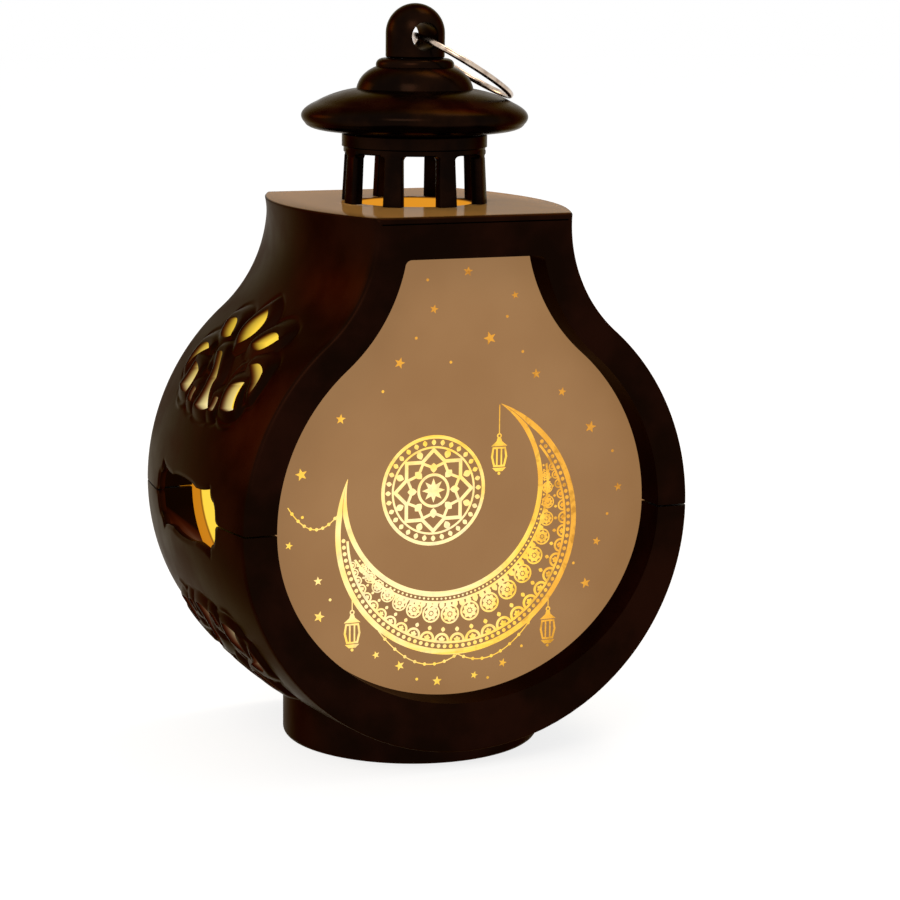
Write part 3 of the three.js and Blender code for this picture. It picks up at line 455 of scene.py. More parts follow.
# Light from inside: how deep the skin stays dark, then the room's and the slots' own walls by height
lamp = {
    "skin": 0.35, "skinFade": 0.8, "slotDepth": 0.25, "ribShade": 9,
    "upper": 49, "upperFade": 9, "lower": 36, "lowerFade": 10, "slotTop": 69, "slotFade": 4,
    "room": (0.08, 0.92, 0.45), "slot": (0.04, 0.9, 0.5),
}


def bowAt(height):
    start = bellyCentre + body["bulgeRise"]
    rise = np.clip((height - start) / (deckHeight - start), 0, 1)
    return body["sideBulge"] + (body["deckBulge"] - body["sideBulge"]) * rise ** 2


# The neck's hollow curve, from the belly up to a height
def neckCurve(radius, top, steps):
    end = 180 - math.degrees(math.asin((top - neckZ) / radius))
    return arcPoints(neckX, neckZ, radius, radius, tangentTurn + 180, end, steps)[1:]


# Right half of the front view, from the bottom to the middle of the deck
def halfOutline(inset, fine):
    radius, neck = body["bellyRadius"] - inset, body["neckRadius"] + inset
    step = body["fineStep"] if fine else body["coarseStep"]
    low = body["bottomArc"]
    steps = int(math.radians(tangentTurn - low) * body["bellyRadius"] / step)
    points = np.concatenate([
        arcPoints(0, bellyCentre, radius, radius, -90, low, 8),
        arcPoints(0, bellyCentre, radius, radius, low, tangentTurn, steps)[1:],
        neckCurve(neck, deckHeight - inset, int(body["neckRadius"] / step)),
    ])
    x, top = points[-1]
    corner = body["deckRound"] if fine else 0.01
    points[-1] = (x, top - corner)
    bend = arcPoints(x - corner, top - corner, corner, corner, 0, 90, 4)[1:]
    flat = np.linspace(bend[-1], (0, top), 6)[1:-1]
    return np.concatenate([points, bend, flat])


def bodySlice(y, inset, fine=True, relief=None):
    half = halfOutline(inset, fine)
    bow = (1 - (y / halfDepth) ** 2) * bowAt(half[:, 1])
    bow[0] = 0
    onDeck = half[:, 1] > half[:, 1].max() - 0.02
    bow = np.where(onDeck, bow * half[:, 0] / max(half[onDeck, 0].max(), 1), bow)
    x, z = half[:, 0] + bow, half[:, 1].copy()
    if relief is not None:
        lift = relief(np.full(len(z), y), z)
        along = np.gradient(half, axis=0)
        along /= np.linalg.norm(along, axis=1)[:, None]
        x, z = x + lift * along[:, 1], z - lift * along[:, 0]
    right = np.stack([x, np.full(len(x), y), z], axis=1)
    return np.concatenate([right, right[:0:-1] * (-1, 1, 1)])


def depthRows():
    reach, edge = body["ornamentHalf"], halfDepth - body["edgeRound"]
    middle = np.linspace(-reach, reach, int(2 * reach / body["fineStep"]) + 1)
    outer = np.linspace(reach, edge, 7)[1:]
    return np.concatenate([-outer[::-1], middle, outer])


def bodyMesh(relief):
    edge = body["edgeRound"]
    rings = [bodySlice(edge * (1 - math.cos(a)) - halfDepth, edge * (1 - math.sin(a)))
             for a in np.radians([0, 30, 60])]
    middle = [bodySlice(y, 0, relief=relief) for y in depthRows()]
    back = [ring * (1, -1, 1) for ring in reversed(rings)]
    return loftMesh("body", rings + middle + back)


def prismMesh(name, outline, fromY, toY):
    rings = [np.array([(x, y, z) for x, z in outline]) for y in (fromY, toY)]
    return loftMesh(name, rings)


def windowOutline(margin, steps=48):
    radius = body["bellyRadius"] - body["frameWidth"] + margin
    depth = body["bellyRadius"] - body["frameBottomWidth"] + margin
    neck = body["neckRadius"] + body["frameWidth"] - margin
    corner = body["windowCorner"]
    top = deckHeight - body["frameTopWidth"] + margin - corner
    hollow = neckCurve(neck, top, steps // 2)
    right = np.concatenate([
        arcPoints(0, bellyCentre, radius, depth, -90, 0, steps),
        arcPoints(0, bellyCentre, radius, radius, 0, tangentTurn, steps // 2)[1:],
        hollow,
        arcPoints(hollow[-1, 0] - corner, top, corner, corner, 0, 90, 6)[1:],
    ])
    return np.concatenate([right, right[:0:-1] * (-1, 1)])


def leafOutline(length, width, steps=10):
    return curvePath((0, 0), [((width, length / 2), (0, length)), ((-width, length / 2), (0, 0))], steps)[:-1]


def rosetteOutlines(steps=8):
    rim = ((-0.8, 3.6), [((2.4, 4.9), (5.4, 3.3)), ((6.6, 1.6), (5.6, -0.4)),
                         ((4.7, -0.4), (4.1, 1.2)), ((2.6, 2.4), (-0.8, 3.6))])
    heel = ((1.8, 1.1), [((1.3, -1.4), (3.1, -3.2)), ((0.6, -4.2), (-2.2, -3.8)),
                         ((-3.8, -1.6), (-3.1, 0)), ((-1.2, 0.9), (1.8, 1.1))])
    sliver = ((-6.9, -2.6), [((-5.6, -2.1), (-4.6, -2.4)), ((-4.2, -3.6), (-4.7, -4.5)),
                             ((-6.2, -5), (-7.1, -4.6)), ((-6.2, -3.6), (-6.9, -2.6))])
    return [curvePath(start, curves, steps)[:-1] for start, curves in (rim, heel, sliver)]


def curlOutline(steps=10):
    return curvePath((5.6, 3.7), [((3.4, 4.4), (2.2, 3.4)), ((-0.4, 1.6), (-1.7, 0.2)),
                                  ((-0.7, -1.6), (-4.6, -4.4)), ((-1, -5.8), (2.3, -4.9)),
                                  ((0.6, -2.6), (1.5, -0.7)), ((1.2, 1.4), (5.6, 3.7))], steps)[:-1]


def labelOutline(steps=8):
    height, corner, tip = label["halfHeight"], label["halfLength"] - label["tip"], label["tip"]
    dip, bracket = label["wave"], label["halfLength"] - label["tip"] * 0.25
    quarter = curvePath((0, height - dip / 2), [
        ((corner * 0.35, height - dip / 2), (corner / 2, height - 1.3 * dip)),
        ((corner * 0.85, height - 1.2 * dip), (corner, height)),
        ((corner, height * 0.72), (corner + tip * 0.5, height * 0.62)),
        ((bracket, height * 0.45), (bracket, height * 0.15)),
        ((bracket, height * 0.1), (label["halfLength"], 0)),
    ], steps)
    right = np.concatenate([quarter, quarter[-2::-1] * (1, -1)])
    return np.concatenate([right, right[-2:0:-1] * (-1, 1)])


def ornamentOutlines():
    length, width = ornament["leaf"]
    outlines = [curlOutline(), leafOutline(length, width) + (0, ornament["leafRise"])]
    for side in (-1, 1):
        lean = -side * math.radians(ornament["sideLean"])
        turn = np.array([[math.cos(lean), math.sin(lean)], [-math.sin(lean), math.cos(lean)]])
        leaf = leafOutline(*ornament["sideLeaf"]) @ turn
        outlines.append(leaf + (side * ornament["sideOffset"], ornament["sideRise"]))
        for shape in rosetteOutlines():
            outlines.append((shape + (ornament["pitch"], 0)) * (side, 1))
    return outlines


def distanceTo(outlines, across, up):
    best = np.full(len(across), 1e6)
    at = np.stack([across, up], axis=1)
    for outline in outlines:
        for a, b in zip(outline, np.roll(outline, -1, axis=0)):
            run = b - a
            t = np.clip(((at - a) @ run) / max(run @ run, 1e-9), 0, 1)
            best = np.minimum(best, np.linalg.norm(at - a - t[:, None] * run, axis=1))
    return best


def ornamentUp(height):
    upper = height - bellyCentre - ornament["rise"]
    lower = 2 * seamHeight - height - bellyCentre - ornament["rise"]
    return np.where(height > seamHeight, upper, lower)


ornamentCuts = ornamentOutlines()
labelCut = labelOutline()


# Raised petals follow every opening, with a groove and a rolled scroll between them.
def carving(across, height):
    up = ornamentUp(height)
    near = (np.abs(up) < ornament["reachUp"]) & (np.abs(across) < body["ornamentHalf"])
    lift = np.zeros(len(across))
    if near.any():
        a, u = across[near], up[near]
        away = distanceTo(ornamentCuts, a, u)
        width = ornament["petalWidth"]
        petal = rounded(1.1 - away / width) * ornament["petalHeight"]
        ditch = -ornament["groove"] * np.exp(-((away - width - 0.1) / ornament["grooveWidth"]) ** 2)
        scroll = np.zeros(len(a))
        for side in (-1, 1):
            x, z = side * (a - side * ornament["pitch"]), u
            reach, turn = np.hypot(x, z), np.arctan2(z, x)
            arms = 0.5 + 0.5 * np.cos(2 * turn - 2 * math.pi * reach / ornament["scrollPitch"])
            within = rounded((ornament["scrollRadius"] - reach) / ornament["scrollFade"])
            scroll += ornament["scrollHeight"] * arms * within
            scroll += ornament["bossHeight"] * rounded((ornament["bossRadius"] - reach) / ornament["bossFade"])
        apart = rounded((away - ornament["scrollFrom"]) / ornament["edgeFade"])
        lift[near] = petal + ditch + scroll * apart
        lift[near] *= rounded((body["ornamentHalf"] - np.abs(a)) / ornament["edgeFade"])
    band = np.abs(height - seamHeight) < label["band"]
    if band.any():
        away = distanceTo([labelCut], across[band], height[band] - seamHeight)
        lift[band] -= label["dip"] * rounded((label["dipWidth"] - away) / label["dipWidth"])
    return lift


# A cutter through one side wall. `flip` mirrors the outline upside down.
def sideTool(outline, centre, flip, side):
    near, far = 8, 60
    rings = [np.array([(side * x, y, centre + flip * z) for y, z in outline]) for x in (near, far)]
    return loftMesh("tool", rings)


def joinAll(pieces, name):
    points, faces = [], []
    for piece in pieces:
        start = len(points)
        points += [v.co / mm for v in piece.data.vertices]
        faces += [[start + i for i in p.vertices] for p in piece.data.polygons]
        bpy.data.objects.remove(piece)
    return addMesh(name, points, faces)


def sideTools():
    tools = []
    upper = bellyCentre + ornament["rise"]
    for side in (-1, 1):
        tools.append(sideTool(labelCut, seamHeight, 1, side))
        for outline in ornamentCuts:
            tools.append(sideTool(outline, upper, 1, side))
            tools.append(sideTool(outline, 2 * seamHeight - upper, -1, side))
    return joinAll(tools, "sideTools")


def cavityMesh():
    reach = cavityHalf
    return loftMesh("cavity", [bodySlice(y, body["wall"], fine=False) for y in np.linspace(-reach, reach, 13)])


def shellsMesh():
    piece = bodyMesh(carving)
    slot, lip = body["slotWidth"], body["panelLip"] + body["slotRoom"]
    slotAt = halfDepth - body["frameDepth"]
    bevel, radius = body["footBevel"], body["footRadius"]
    footTop = body["bellyLift"] + body["frameBottomWidth"] - bevel / 2
    profile = [(0, 0), (radius - bevel, 0), *arcPoints(radius - bevel, bevel, bevel, bevel, -90, 0, 6)[1:],
               (radius, footTop), (0, footTop)]
    carve(piece, lathe("foot", profile, sides=128), "UNION")
    carve(piece, cavityMesh())
    carve(piece, prismMesh("window", windowOutline(0), -2 * halfDepth, 2 * halfDepth))
    for low in (-slotAt, slotAt - slot):
        carve(piece, prismMesh("slot", windowOutline(lip), low, low + slot))
    bore, boreTop = radius - body["footWall"], footTop + bevel / 2 - lip - body["baseRoom"]
    carve(piece, lathe("bore", [(0, -1), (bore, -1), (bore, boreTop), (0, boreTop)], sides=128))
    rim, edge, top = body["deckOpening"], body["openingBevel"], deckHeight
    hole = [(0, top - 4), (rim, top - 4), (rim, top - edge), (rim + edge, top), (rim + edge, top + 1),
            (0, top + 1)]
    carve(piece, lathe("hole", hole, sides=128))
    carve(piece, sideTools())
    return piece


# How brightly the lamp inside shows on each point of the walls.
def glowValues(mesh):
    x, y, z = vertexPlaces(mesh).T
    radius = body["bellyRadius"]
    belly = np.sqrt(np.clip(radius ** 2 - (z - bellyCentre) ** 2, 0, None))
    neck = neckX - np.sqrt(np.clip(body["neckRadius"] ** 2 - (z - neckZ) ** 2, 0, None))
    tangentZ = bellyCentre + radius * math.sin(math.radians(tangentTurn))
    outer = np.where(z < tangentZ, belly, neck) + bowAt(z) * (1 - (y / halfDepth) ** 2)
    depth = outer - np.abs(x)
    inside = rounded((depth - lamp["skin"]) / lamp["skinFade"])
    inside = inside * (np.abs(y) < cavityHalf + 0.05) * (z < deckHeight - 0.25)
    rib = np.abs(y) > cavityHalf - 0.1
    upper = rounded((z - lamp["upper"]) / lamp["upperFade"])
    lower = rounded((lamp["lower"] - z) / lamp["lowerFade"])
    least, high, low = lamp["room"]
    room = least + high * upper + low * lower
    least, high, low = lamp["slot"]
    slot = least + rounded((lamp["slotTop"] - z) / lamp["slotFade"]) * (high * upper + low * lower)
    glow = np.where((depth < body["wall"] + lamp["slotDepth"]) & ~rib, slot, room) * inside
    return np.where(rib & (np.abs(z - bellyCentre) < lamp["ribShade"]), 0, glow)


def vertexPlaces(mesh):
    at = np.empty(len(mesh.vertices) * 3)
    mesh.vertices.foreach_get("co", at)
    return at.reshape(-1, 3) / mm


def addValues(mesh, name, values):
    layer = mesh.attributes.new(name, "FLOAT", "POINT")
    layer.data.foreach_set("value", np.asarray(values, np.float32))


def coat(mesh, material, sharpAngle):
    mesh.materials.clear()
    mesh.materials.append(material)
    smoothMesh(mesh, sharpAngle)


def splitShells(piece):
    gap, reach, high = body["seamGap"] / 2, 80, 200
    for name, low, top in (("lower_shell", seamHeight - gap, high), ("upper_shell", -high, seamHeight + gap)):
        half = addObject(name + "_looks", piece.data.copy())
        block = prismMesh("block", [(-reach, low), (reach, low), (reach, top), (-reach, top)], -reach, reach)
        carve(half, block)
        coat(half.data, finish["shell"], 50)
        addValues(half.data, "glow", glowValues(half.data))
        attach(half, "lantern")
        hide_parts(name)
        print(half.name, len(half.data.polygons), "faces")
    bpy.data.objects.remove(piece)


splitShells(shellsMesh())


def panelMesh(node, inner):
    outline = windowOutline(body["panelLip"], 36)
    seams = [windowOutline(-panel[k], 36) for k in ("strip", "groove", "clear")]
    low, high, grid, count = lowCorner(node), highCorner(node), panel["grid"], len(outline)
    spots = [(float(x), float(z)) for x in np.arange(low.x + grid, high.x, grid)
             for z in np.arange(low.z + grid, high.z, grid)]
    away = distanceTo([outline, *seams], *np.array(spots).T)
    spots = [s for s, d in zip(spots, away) if d > grid * 0.25]
    vertices = [Vector(p) for p in (*np.concatenate([outline, *seams]).tolist(), *spots)]
    edges = [(start + i, start + (i + 1) % count) for start in range(0, 4 * count, count) for i in range(count)]
    flat, _, triangles = delaunay_2d_cdt(vertices, edges, [], 1, 1e-5)[:3]
    points = [(p.x, y, p.y) for y in (low.y, high.y) for p in flat]
    total = len(flat)
    faces = [list(t) for t in triangles] + [[i + total for i in reversed(t)] for t in triangles]
    faces += [[i, (i + 1) % count, (i + 1) % count + total, i + total] for i in range(count)]
    piece = addMesh(node + "_looks", points, faces, finish["panel"])
    at = vertexPlaces(piece.data)
    edge = distanceTo([outline], at[:, 0], at[:, 2]) - body["panelLip"]
    # Masks for the painted dimmer orange band and the painted dark line near the edge, and for the inner face
    addValues(piece.data, "strip", edge < panel["groove"] + 0.1)
    addValues(piece.data, "groove", np.abs(edge - panel["groove"]) < 0.1)
    addValues(piece.data, "inside", np.abs(at[:, 1] - inner) < 0.05)
    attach(piece, "lantern")
    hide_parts(node)


panelMesh("front_panel", highCorner("front_panel").y)
panelMesh("back_panel", lowCorner("back_panel").y)
print("panels made")


# Copies of one item stood on points that carry a turn and a size
def copiesTree():
    tree = bpy.data.node_groups.new("stand copies on points", "GeometryNodeTree")
    sockets = {}
    for name, kind in (("Points", "Geometry"), ("Item", "Object"), ("Turn Axis", "Vector")):
        socket = tree.interface.new_socket(name, in_out="INPUT", socket_type="NodeSocket" + kind)
        sockets[name] = socket.identifier
    tree.interface.new_socket("Geometry", in_out="OUTPUT", socket_type="NodeSocketGeometry")
    nodes = Nodes(tree)
    given = nodes.add("NodeGroupInput").outputs
    turn, size = (nodes.add("GeometryNodeInputNamedAttribute", {"data_type": "FLOAT"}, Name=name)
                  .outputs["Attribute"] for name in ("turn", "size"))
    item = nodes.add("GeometryNodeObjectInfo", {"transform_space": "ORIGINAL"}, Object=given["Item"])
    spin = nodes.add("FunctionNodeAxisAngleToRotation", Axis=given["Turn Axis"], Angle=turn)
    stood = nodes.add("GeometryNodeInstanceOnPoints", Points=given["Points"], Instance=item.outputs["Geometry"],
                      Rotation=spin.outputs["Rotation"], Scale=size)
    real = nodes.add("GeometryNodeRealizeInstances", Geometry=stood.outputs["Instances"])
    nodes.add("NodeGroupOutput", Geometry=real.outputs["Geometry"])
    return tree, sockets


copies, copySockets = copiesTree()


def standCopies(name, item, spots, axis):
    places, turns, sizes = zip(*spots)
    piece = addMesh(name, places, [])
    addValues(piece.data, "turn", turns)
    addValues(piece.data, "size", sizes)
    modifier = piece.modifiers.new("copies", "NODES")
    modifier.node_group = copies
    modifier[copySockets["Item"]] = item
    modifier[copySockets["Turn Axis"]] = axis
    bpy.context.view_layer.update()
    settle(piece)
    bpy.data.objects.remove(item)
    return piece


# Gallery of posts under a ring; the posts' feet stand just over the deck
gallery = {
    "posts": 8, "turn": 5.4, "ringRadius": 11.4, "footSpread": 0.5, "footGap": 0.06,
    "topWidth": 3, "footWidth": 3.4, "depth": 2, "round": 0.35, "postHeight": 8.7, "fillet": 0.8,
    "inner": 10.4, "outer": 12.4, "lip": 0.3, "neck": 1.1,
}


def roundedSection(centre, depth, width, height, corner):
    points = []
    for sx, sy, start in ((1, 1, 0), (-1, 1, 90), (-1, -1, 180), (1, -1, 270)):
        x, y = centre + sx * (depth / 2 - corner), sy * (width / 2 - corner)
        points += [(px, py, height) for px, py in arcPoints(x, y, corner, corner, start, start + 90, 3)]
    return np.array(points)


def galleryPost():
    fillet, radius = gallery["fillet"], gallery["ringRadius"]
    springing = deckHeight + gallery["postHeight"] - fillet
    sections = [(radius + gallery["footSpread"], gallery["footWidth"], deckHeight + gallery["footGap"]),
                (radius + 0.1, gallery["topWidth"], springing)]
    for angle in np.radians((22, 45, 68, 90)):
        width = gallery["topWidth"] + 2 * fillet * (1 - math.cos(angle))
        sections.append((radius, width, springing + fillet * math.sin(angle)))
    rings = [roundedSection(centre, gallery["depth"], width, height, gallery["round"])
             for centre, width, height in sections]
    rings.append(rings[-1] + (0, 0, gallery["neck"] / 2))
    return loftMesh("post", rings, sharpAngle=40)


def makeGallery():
    ring = deckHeight + gallery["postHeight"]
    lipZ, top, lip = ring + gallery["neck"], highCorner("gallery").z, gallery["lip"]
    inner, outer = gallery["inner"], gallery["outer"]
    profile = [(inner, ring + 0.15), (inner + 0.15, ring), (outer - 0.2, ring), (outer, ring + 0.2),
               *bendPoints((outer, lipZ - lip), (outer, lipZ - 0.05), (outer + lip, lipZ), 4),
               (outer + lip, top - lip), *arcPoints(outer, top - lip, lip, lip, 0, 90, 4)[1:], (inner, top)]
    piece = lathe("gallery_looks", profile, sides=128)
    angles = np.radians(gallery["turn"] + 360 * np.arange(gallery["posts"]) / gallery["posts"])
    posts = standCopies("posts", galleryPost(), [((0, 0, 0), a, 1) for a in angles], (0, 0, 1))
    carve(piece, posts, "UNION")
    coat(piece.data, finish["trim"], 32)
    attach(piece, "lantern")
    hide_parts("gallery")


makeGallery()
print("gallery made")

# Gold foil print of both panels: a crescent round a star rosette, with lanterns and stars
foil = {
    "thickness": 0.06, "sunk": 0.02,
    "centre": (0, 41.5), "outer": 22.5, "hollow": 17.8, "shift": 7.2, "opens": 112,
    "rim": 0.95, "rimShare": 0.46, "line": 0.42, "lineInset": 2.4, "innerLine": 1.75,
    "rosette": (-4.6, 48.2), "rosetteSize": 9.6, "starDepth": 0.7654,
    "thread": 0.16, "swag": 0.17, "dot": 0.26, "swagDot": 0.3, "lanternDrop": 6.9, "lanternSize": 1.12,
    "lanterns": ((-19.4, 30.3, 2), (17.4, 27.4, 1.6), (7.6, 62.4, 5.2)),
    "swags": (((-14.6, 24.4), (0.2, 19), 3.6), ((0.2, 19), (14.2, 24.1), 3.3), ((-31, 47), (-22.2, 45), 3)),
    "stars": ((-28.6, 52.5, 1.1), (-25.6, 34, 0.8), (-30.8, 40.5, 0.7), (-25.4, 27.8, 1), (-21.6, 61.5, 0.9),
              (26.6, 37, 0.8), (30.6, 46.5, 0.8), (25, 57.5, 1.1), (24.6, 29.6, 1), (19.4, 64, 0.8),
              (-10.6, 17.9, 0.9), (8.8, 16.6, 0.8), (-3.6, 14.5, 0.9), (3.4, 14.9, 0.7), (-15, 20.2, 0.7),
              (-11, 70.5, 1), (-4.8, 79.4, 0.8), (5.6, 74, 1.2), (10.2, 81.2, 0.7), (14.4, 67.4, 0.9),
              (1.4, 85.6, 0.9)),
    "dots": ((-31.2, 56.2), (-23.4, 30.6), (-28.4, 45.2), (28.6, 41.8), (29.4, 53), (22.2, 33.4), (12.4, 19.3),
             (-7.4, 15.2), (6, 14.2), (-8, 74.6), (8.8, 77.6), (-1.6, 70.2), (-6, 84.4), (11.8, 71.4),
             (-14, 65.8)),
    "hotSpot": (-6, 37), "reach": 27,
}

# Rows of small shapes along the crescent. Inset and size are (fixed, share of the width there), the step is
# a share of the size, and then come the least width and the lean.
crescentRows = {
    "fan": ((2.4, 0), (0, 0.125), 2.08, 5, 90),
    "flower": ((1.128, 0.53), (0, 0.15), 2.2, 5.4, 0),
    "petal": ((-1.75, 1), (0, 0.13), 0.8, 5.4, -90),
    "bead": ((1.465, 0), (0.36, 0), 1.15 / 0.36, 3.6, 0),
    "innerBead": ((-1.35, 1), (0.2, 0), 4, 5, 0),
}


def circleLoop(radius, x=0, z=0, sides=28):
    return arcPoints(x, z, radius, radius, 0, 360, sides)[:-1]


def ringLoops(outer, inner, x=0, z=0, sides=48):
    return [circleLoop(outer, x, z, sides), circleLoop(inner, x, z, sides)]


def starLoop(points, outer, inner, turn=90.0):
    angles = np.radians(turn + 180 / points * np.arange(2 * points))
    reach = np.where(np.arange(2 * points) % 2, inner, outer)
    return np.stack([reach * np.cos(angles), reach * np.sin(angles)], axis=1)


def strokeLoop(path, width):
    along = np.gradient(path, axis=0)
    along /= np.linalg.norm(along, axis=1)[:, None]
    side = np.stack([-along[:, 1], along[:, 0]], axis=1) * width / 2
    return np.concatenate([path + side, (path - side)[::-1]])


def turned(loop, degrees):
    c, s = math.cos(math.radians(degrees)), math.sin(math.radians(degrees))
    return loop @ np.array([[c, s], [-s, c]])


def loopArea(loop):
    x, z = loop.T
    return float(np.sum(x * np.roll(z, -1) - z * np.roll(x, -1))) / 2


# Thin plates facing the front. Each shape is an outline followed by its holes.
def plateMesh(name, shapes):
    points, faces = [], []
    for loops in shapes:
        loops = [p if (loopArea(p) > 0) == (i == 0) else p[::-1] for i, p in enumerate(loops)]
        flat = np.concatenate(loops)
        count, start = len(flat), len(points)
        points += [(x, y, z) for y in (-foil["thickness"], foil["sunk"]) for x, z in flat]
        for triangle in tessellate_polygon([[Vector((x, z, 0)) for x, z in p] for p in loops]):
            order = triangle if loopArea(flat[list(triangle)]) > 0 else triangle[::-1]
            faces.append([start + i for i in order])
            faces.append([start + count + i for i in reversed(order)])
        at = start
        for loop in loops:
            for i in range(len(loop)):
                a, b = at + i, at + (i + 1) % len(loop)
                faces.append([a + count, b + count, b, a])
            at += len(loop)
    return addMesh(name, points, faces)


def crescentWidth(turn):
    lean = np.radians(turn - foil["opens"])
    shift, hollow = foil["shift"], foil["hollow"]
    return foil["outer"] - shift * np.cos(lean) - np.sqrt(hollow ** 2 - (shift * np.sin(lean)) ** 2)


def crescentPoint(turn, inset):
    reach, angle = foil["outer"] - inset, np.radians(turn)
    x, z = foil["centre"]
    return np.stack([x + reach * np.cos(angle), z + reach * np.sin(angle)], axis=-1)


# A band between two insets, which `edges` gives for a width
def crescentBand(edges, leastWidth):
    turns = np.linspace(foil["opens"] + 30, foil["opens"] + 330, 361)
    turns = turns[crescentWidth(turns) > leastWidth]
    low, high = edges(crescentWidth(turns))
    return [np.concatenate([crescentPoint(turns, low), crescentPoint(turns, high)[::-1]])]


def crescentShapes():
    share, line, inset, inner = (foil[k] for k in ("rimShare", "line", "lineInset", "innerLine"))
    return [
        crescentBand(lambda w: (0, np.minimum(foil["rim"], share * w)), 0.02),
        crescentBand(lambda w: (w - np.minimum(foil["rim"], share * w), w), 0.02),
        crescentBand(lambda w: (inset - line, inset), 3.6),
        crescentBand(lambda w: (w - inner - line, w - inner), 5),
    ]


# Places along the crescent, spaced by the size there
def alongCrescent(inset, size, step, leastWidth, lean):
    spots, turn, last = [], foil["opens"] + 36, foil["opens"] + 324
    while turn < last:
        width = float(crescentWidth(turn))
        here, scale = inset[0] + inset[1] * width, size[0] + size[1] * width
        if width > leastWidth:
            x, z = crescentPoint(turn, here)
            spots.append(((x, 0, z), math.radians(turn + lean), scale))
        turn += math.degrees(max(step * scale, 0.5) / (foil["outer"] - here))
    return spots


def fanShapes():
    arch = np.concatenate([arcPoints(0, 0, 1, 1, 0, 180, 14), arcPoints(0, 0, 0.7, 0.7, 180, 0, 14)])
    return [[arch], [leafOutline(0.58, 0.4, 6)], [turned(leafOutline(0.52, 0.3, 5), 50)],
            [turned(leafOutline(0.52, 0.3, 5), -50)], [leafOutline(0.62, 0.5, 6) + (0, 1.12)]]


# Leaves in a ring, pointing outwards
def leafRing(count, length, width, reach, steps, first=0):
    leaf = leafOutline(length, width, steps) + (0, reach)
    return [[turned(leaf, first + 360 / count * k)] for k in range(count)]


def flowerShapes():
    return [ringLoops(1, 0.82, sides=28), [circleLoop(0.18, sides=10)], *leafRing(8, 0.54, 0.44, 0.24, 5)]


def rosetteShapes():
    size, depth = foil["rosetteSize"], foil["starDepth"]
    bands = [[starLoop(8, size * share, size * share * depth, turn) for share in shares]
             for turn, shares in ((90, (0.78, 0.69)), (112.5, (0.57, 0.5)))]
    return [ringLoops(size, size - 0.6, sides=64), ringLoops(size * 0.8, size * 0.8 - 0.35, sides=64), *bands,
            ringLoops(size * 0.31, size * 0.26), [starLoop(8, size * 0.22, size * 0.11)],
            *leafRing(32, size * 0.11, size * 0.085, size * 0.815, 5),
            *leafRing(8, size * 0.18, size * 0.13, size * 0.32, 6),
            *leafRing(8, size * 0.16, size * 0.12, size * 0.62, 6, 22.5)]


def hungLanternShapes():
    side = np.array([(-0.88, 3.9), (-0.5, 3.9), (-0.5, 1.4), (-0.72, 1.4), (-1.02, 2.7)])
    pane = np.array([(-0.26, 3.95), (0.26, 3.95), (0.26, 1.35), (-0.26, 1.35)])
    case = np.array([(-1.1, 4.2), (1.1, 4.2), (1.36, 2.7), (0.95, 1.1), (-0.95, 1.1), (-1.36, 2.7)])
    return [[case, pane, side, side * (-1, 1)],
            [np.array([(-1.35, 4.35), (1.35, 4.35), (0.45, 5.1), (0.3, 5.6), (-0.3, 5.6), (-0.45, 5.1)])],
            [np.array([(-1.15, 0.95), (-0.55, 0.4), (0.55, 0.4), (1.15, 0.95)])],
            ringLoops(0.4, 0.2, 0, 5.95, 14), [circleLoop(0.24, 0, 0.08, 10)]]


def swagPath(start, end, sag):
    t = np.linspace(0, 1, 25)[:, None]
    path = (1 - t) * np.array(start, float) + t * np.array(end, float)
    path[:, 1] -= 4 * sag * (t * (1 - t))[:, 0]
    return path


def makePrint():
    top = np.array(foil["rosette"], float)
    swags = [swagPath(*swag) for swag in foil["swags"]]
    fixed = crescentShapes() + [[loop + top for loop in loops] for loops in rosetteShapes()]
    for x, z, drop in foil["lanterns"]:
        fixed.append([strokeLoop(np.array([(x, z), (x, z - drop)]), foil["thread"])])
    fixed += [[strokeLoop(path, foil["swag"])] for path in swags]
    shapes = {"fan": fanShapes(), "flower": flowerShapes(), "petal": [[leafOutline(1, 0.66, 6)]],
              "bead": [[circleLoop(1, sides=10)]], "innerBead": [[circleLoop(1, sides=8)]]}
    rows = {name: (shapes[name], alongCrescent(*row)) for name, row in crescentRows.items()}
    rows["star"] = ([[starLoop(5, 1, 0.42)]],
                    [((x, 0, z), 0.3 * math.sin(7 * x), size) for x, z, size in foil["stars"]])
    beads = [((x, 0, z), 0, foil["dot"]) for x, z in foil["dots"]]
    beads += [((x, 0, z), 0, foil["swagDot"]) for path in swags for x, z in path[2:-1:3]]
    rows["dot"] = ([[circleLoop(1, sides=10)]], beads)
    rows["lantern"] = (hungLanternShapes(), [((x, 0, z - drop - foil["lanternDrop"]), 0, foil["lanternSize"])
                                             for x, z, drop in foil["lanterns"]])
    parts = [standCopies(name + "Row", plateMesh(name, loops), spots, (0, -1, 0))
             for name, (loops, spots) in rows.items()]
    return joinAll([plateMesh("printLines", fixed), *parts], "front_print")


# How brightly the foil shines: most at the hot spot, less to the right of it, with a slight ripple
def litAmount(x, z):
    across, up = x - foil["hotSpot"][0], z - foil["hotSpot"][1]
    away = np.hypot(np.where(across < 0, across * 0.72, across), up * 0.85)
    ripple = 0.05 * np.sin(1.7 * x + 0.6 * z) + 0.05 * np.sin(1.1 * z - 0.8 * x)
    return np.clip(1.3 - away / foil["reach"] + ripple, 0, 1)


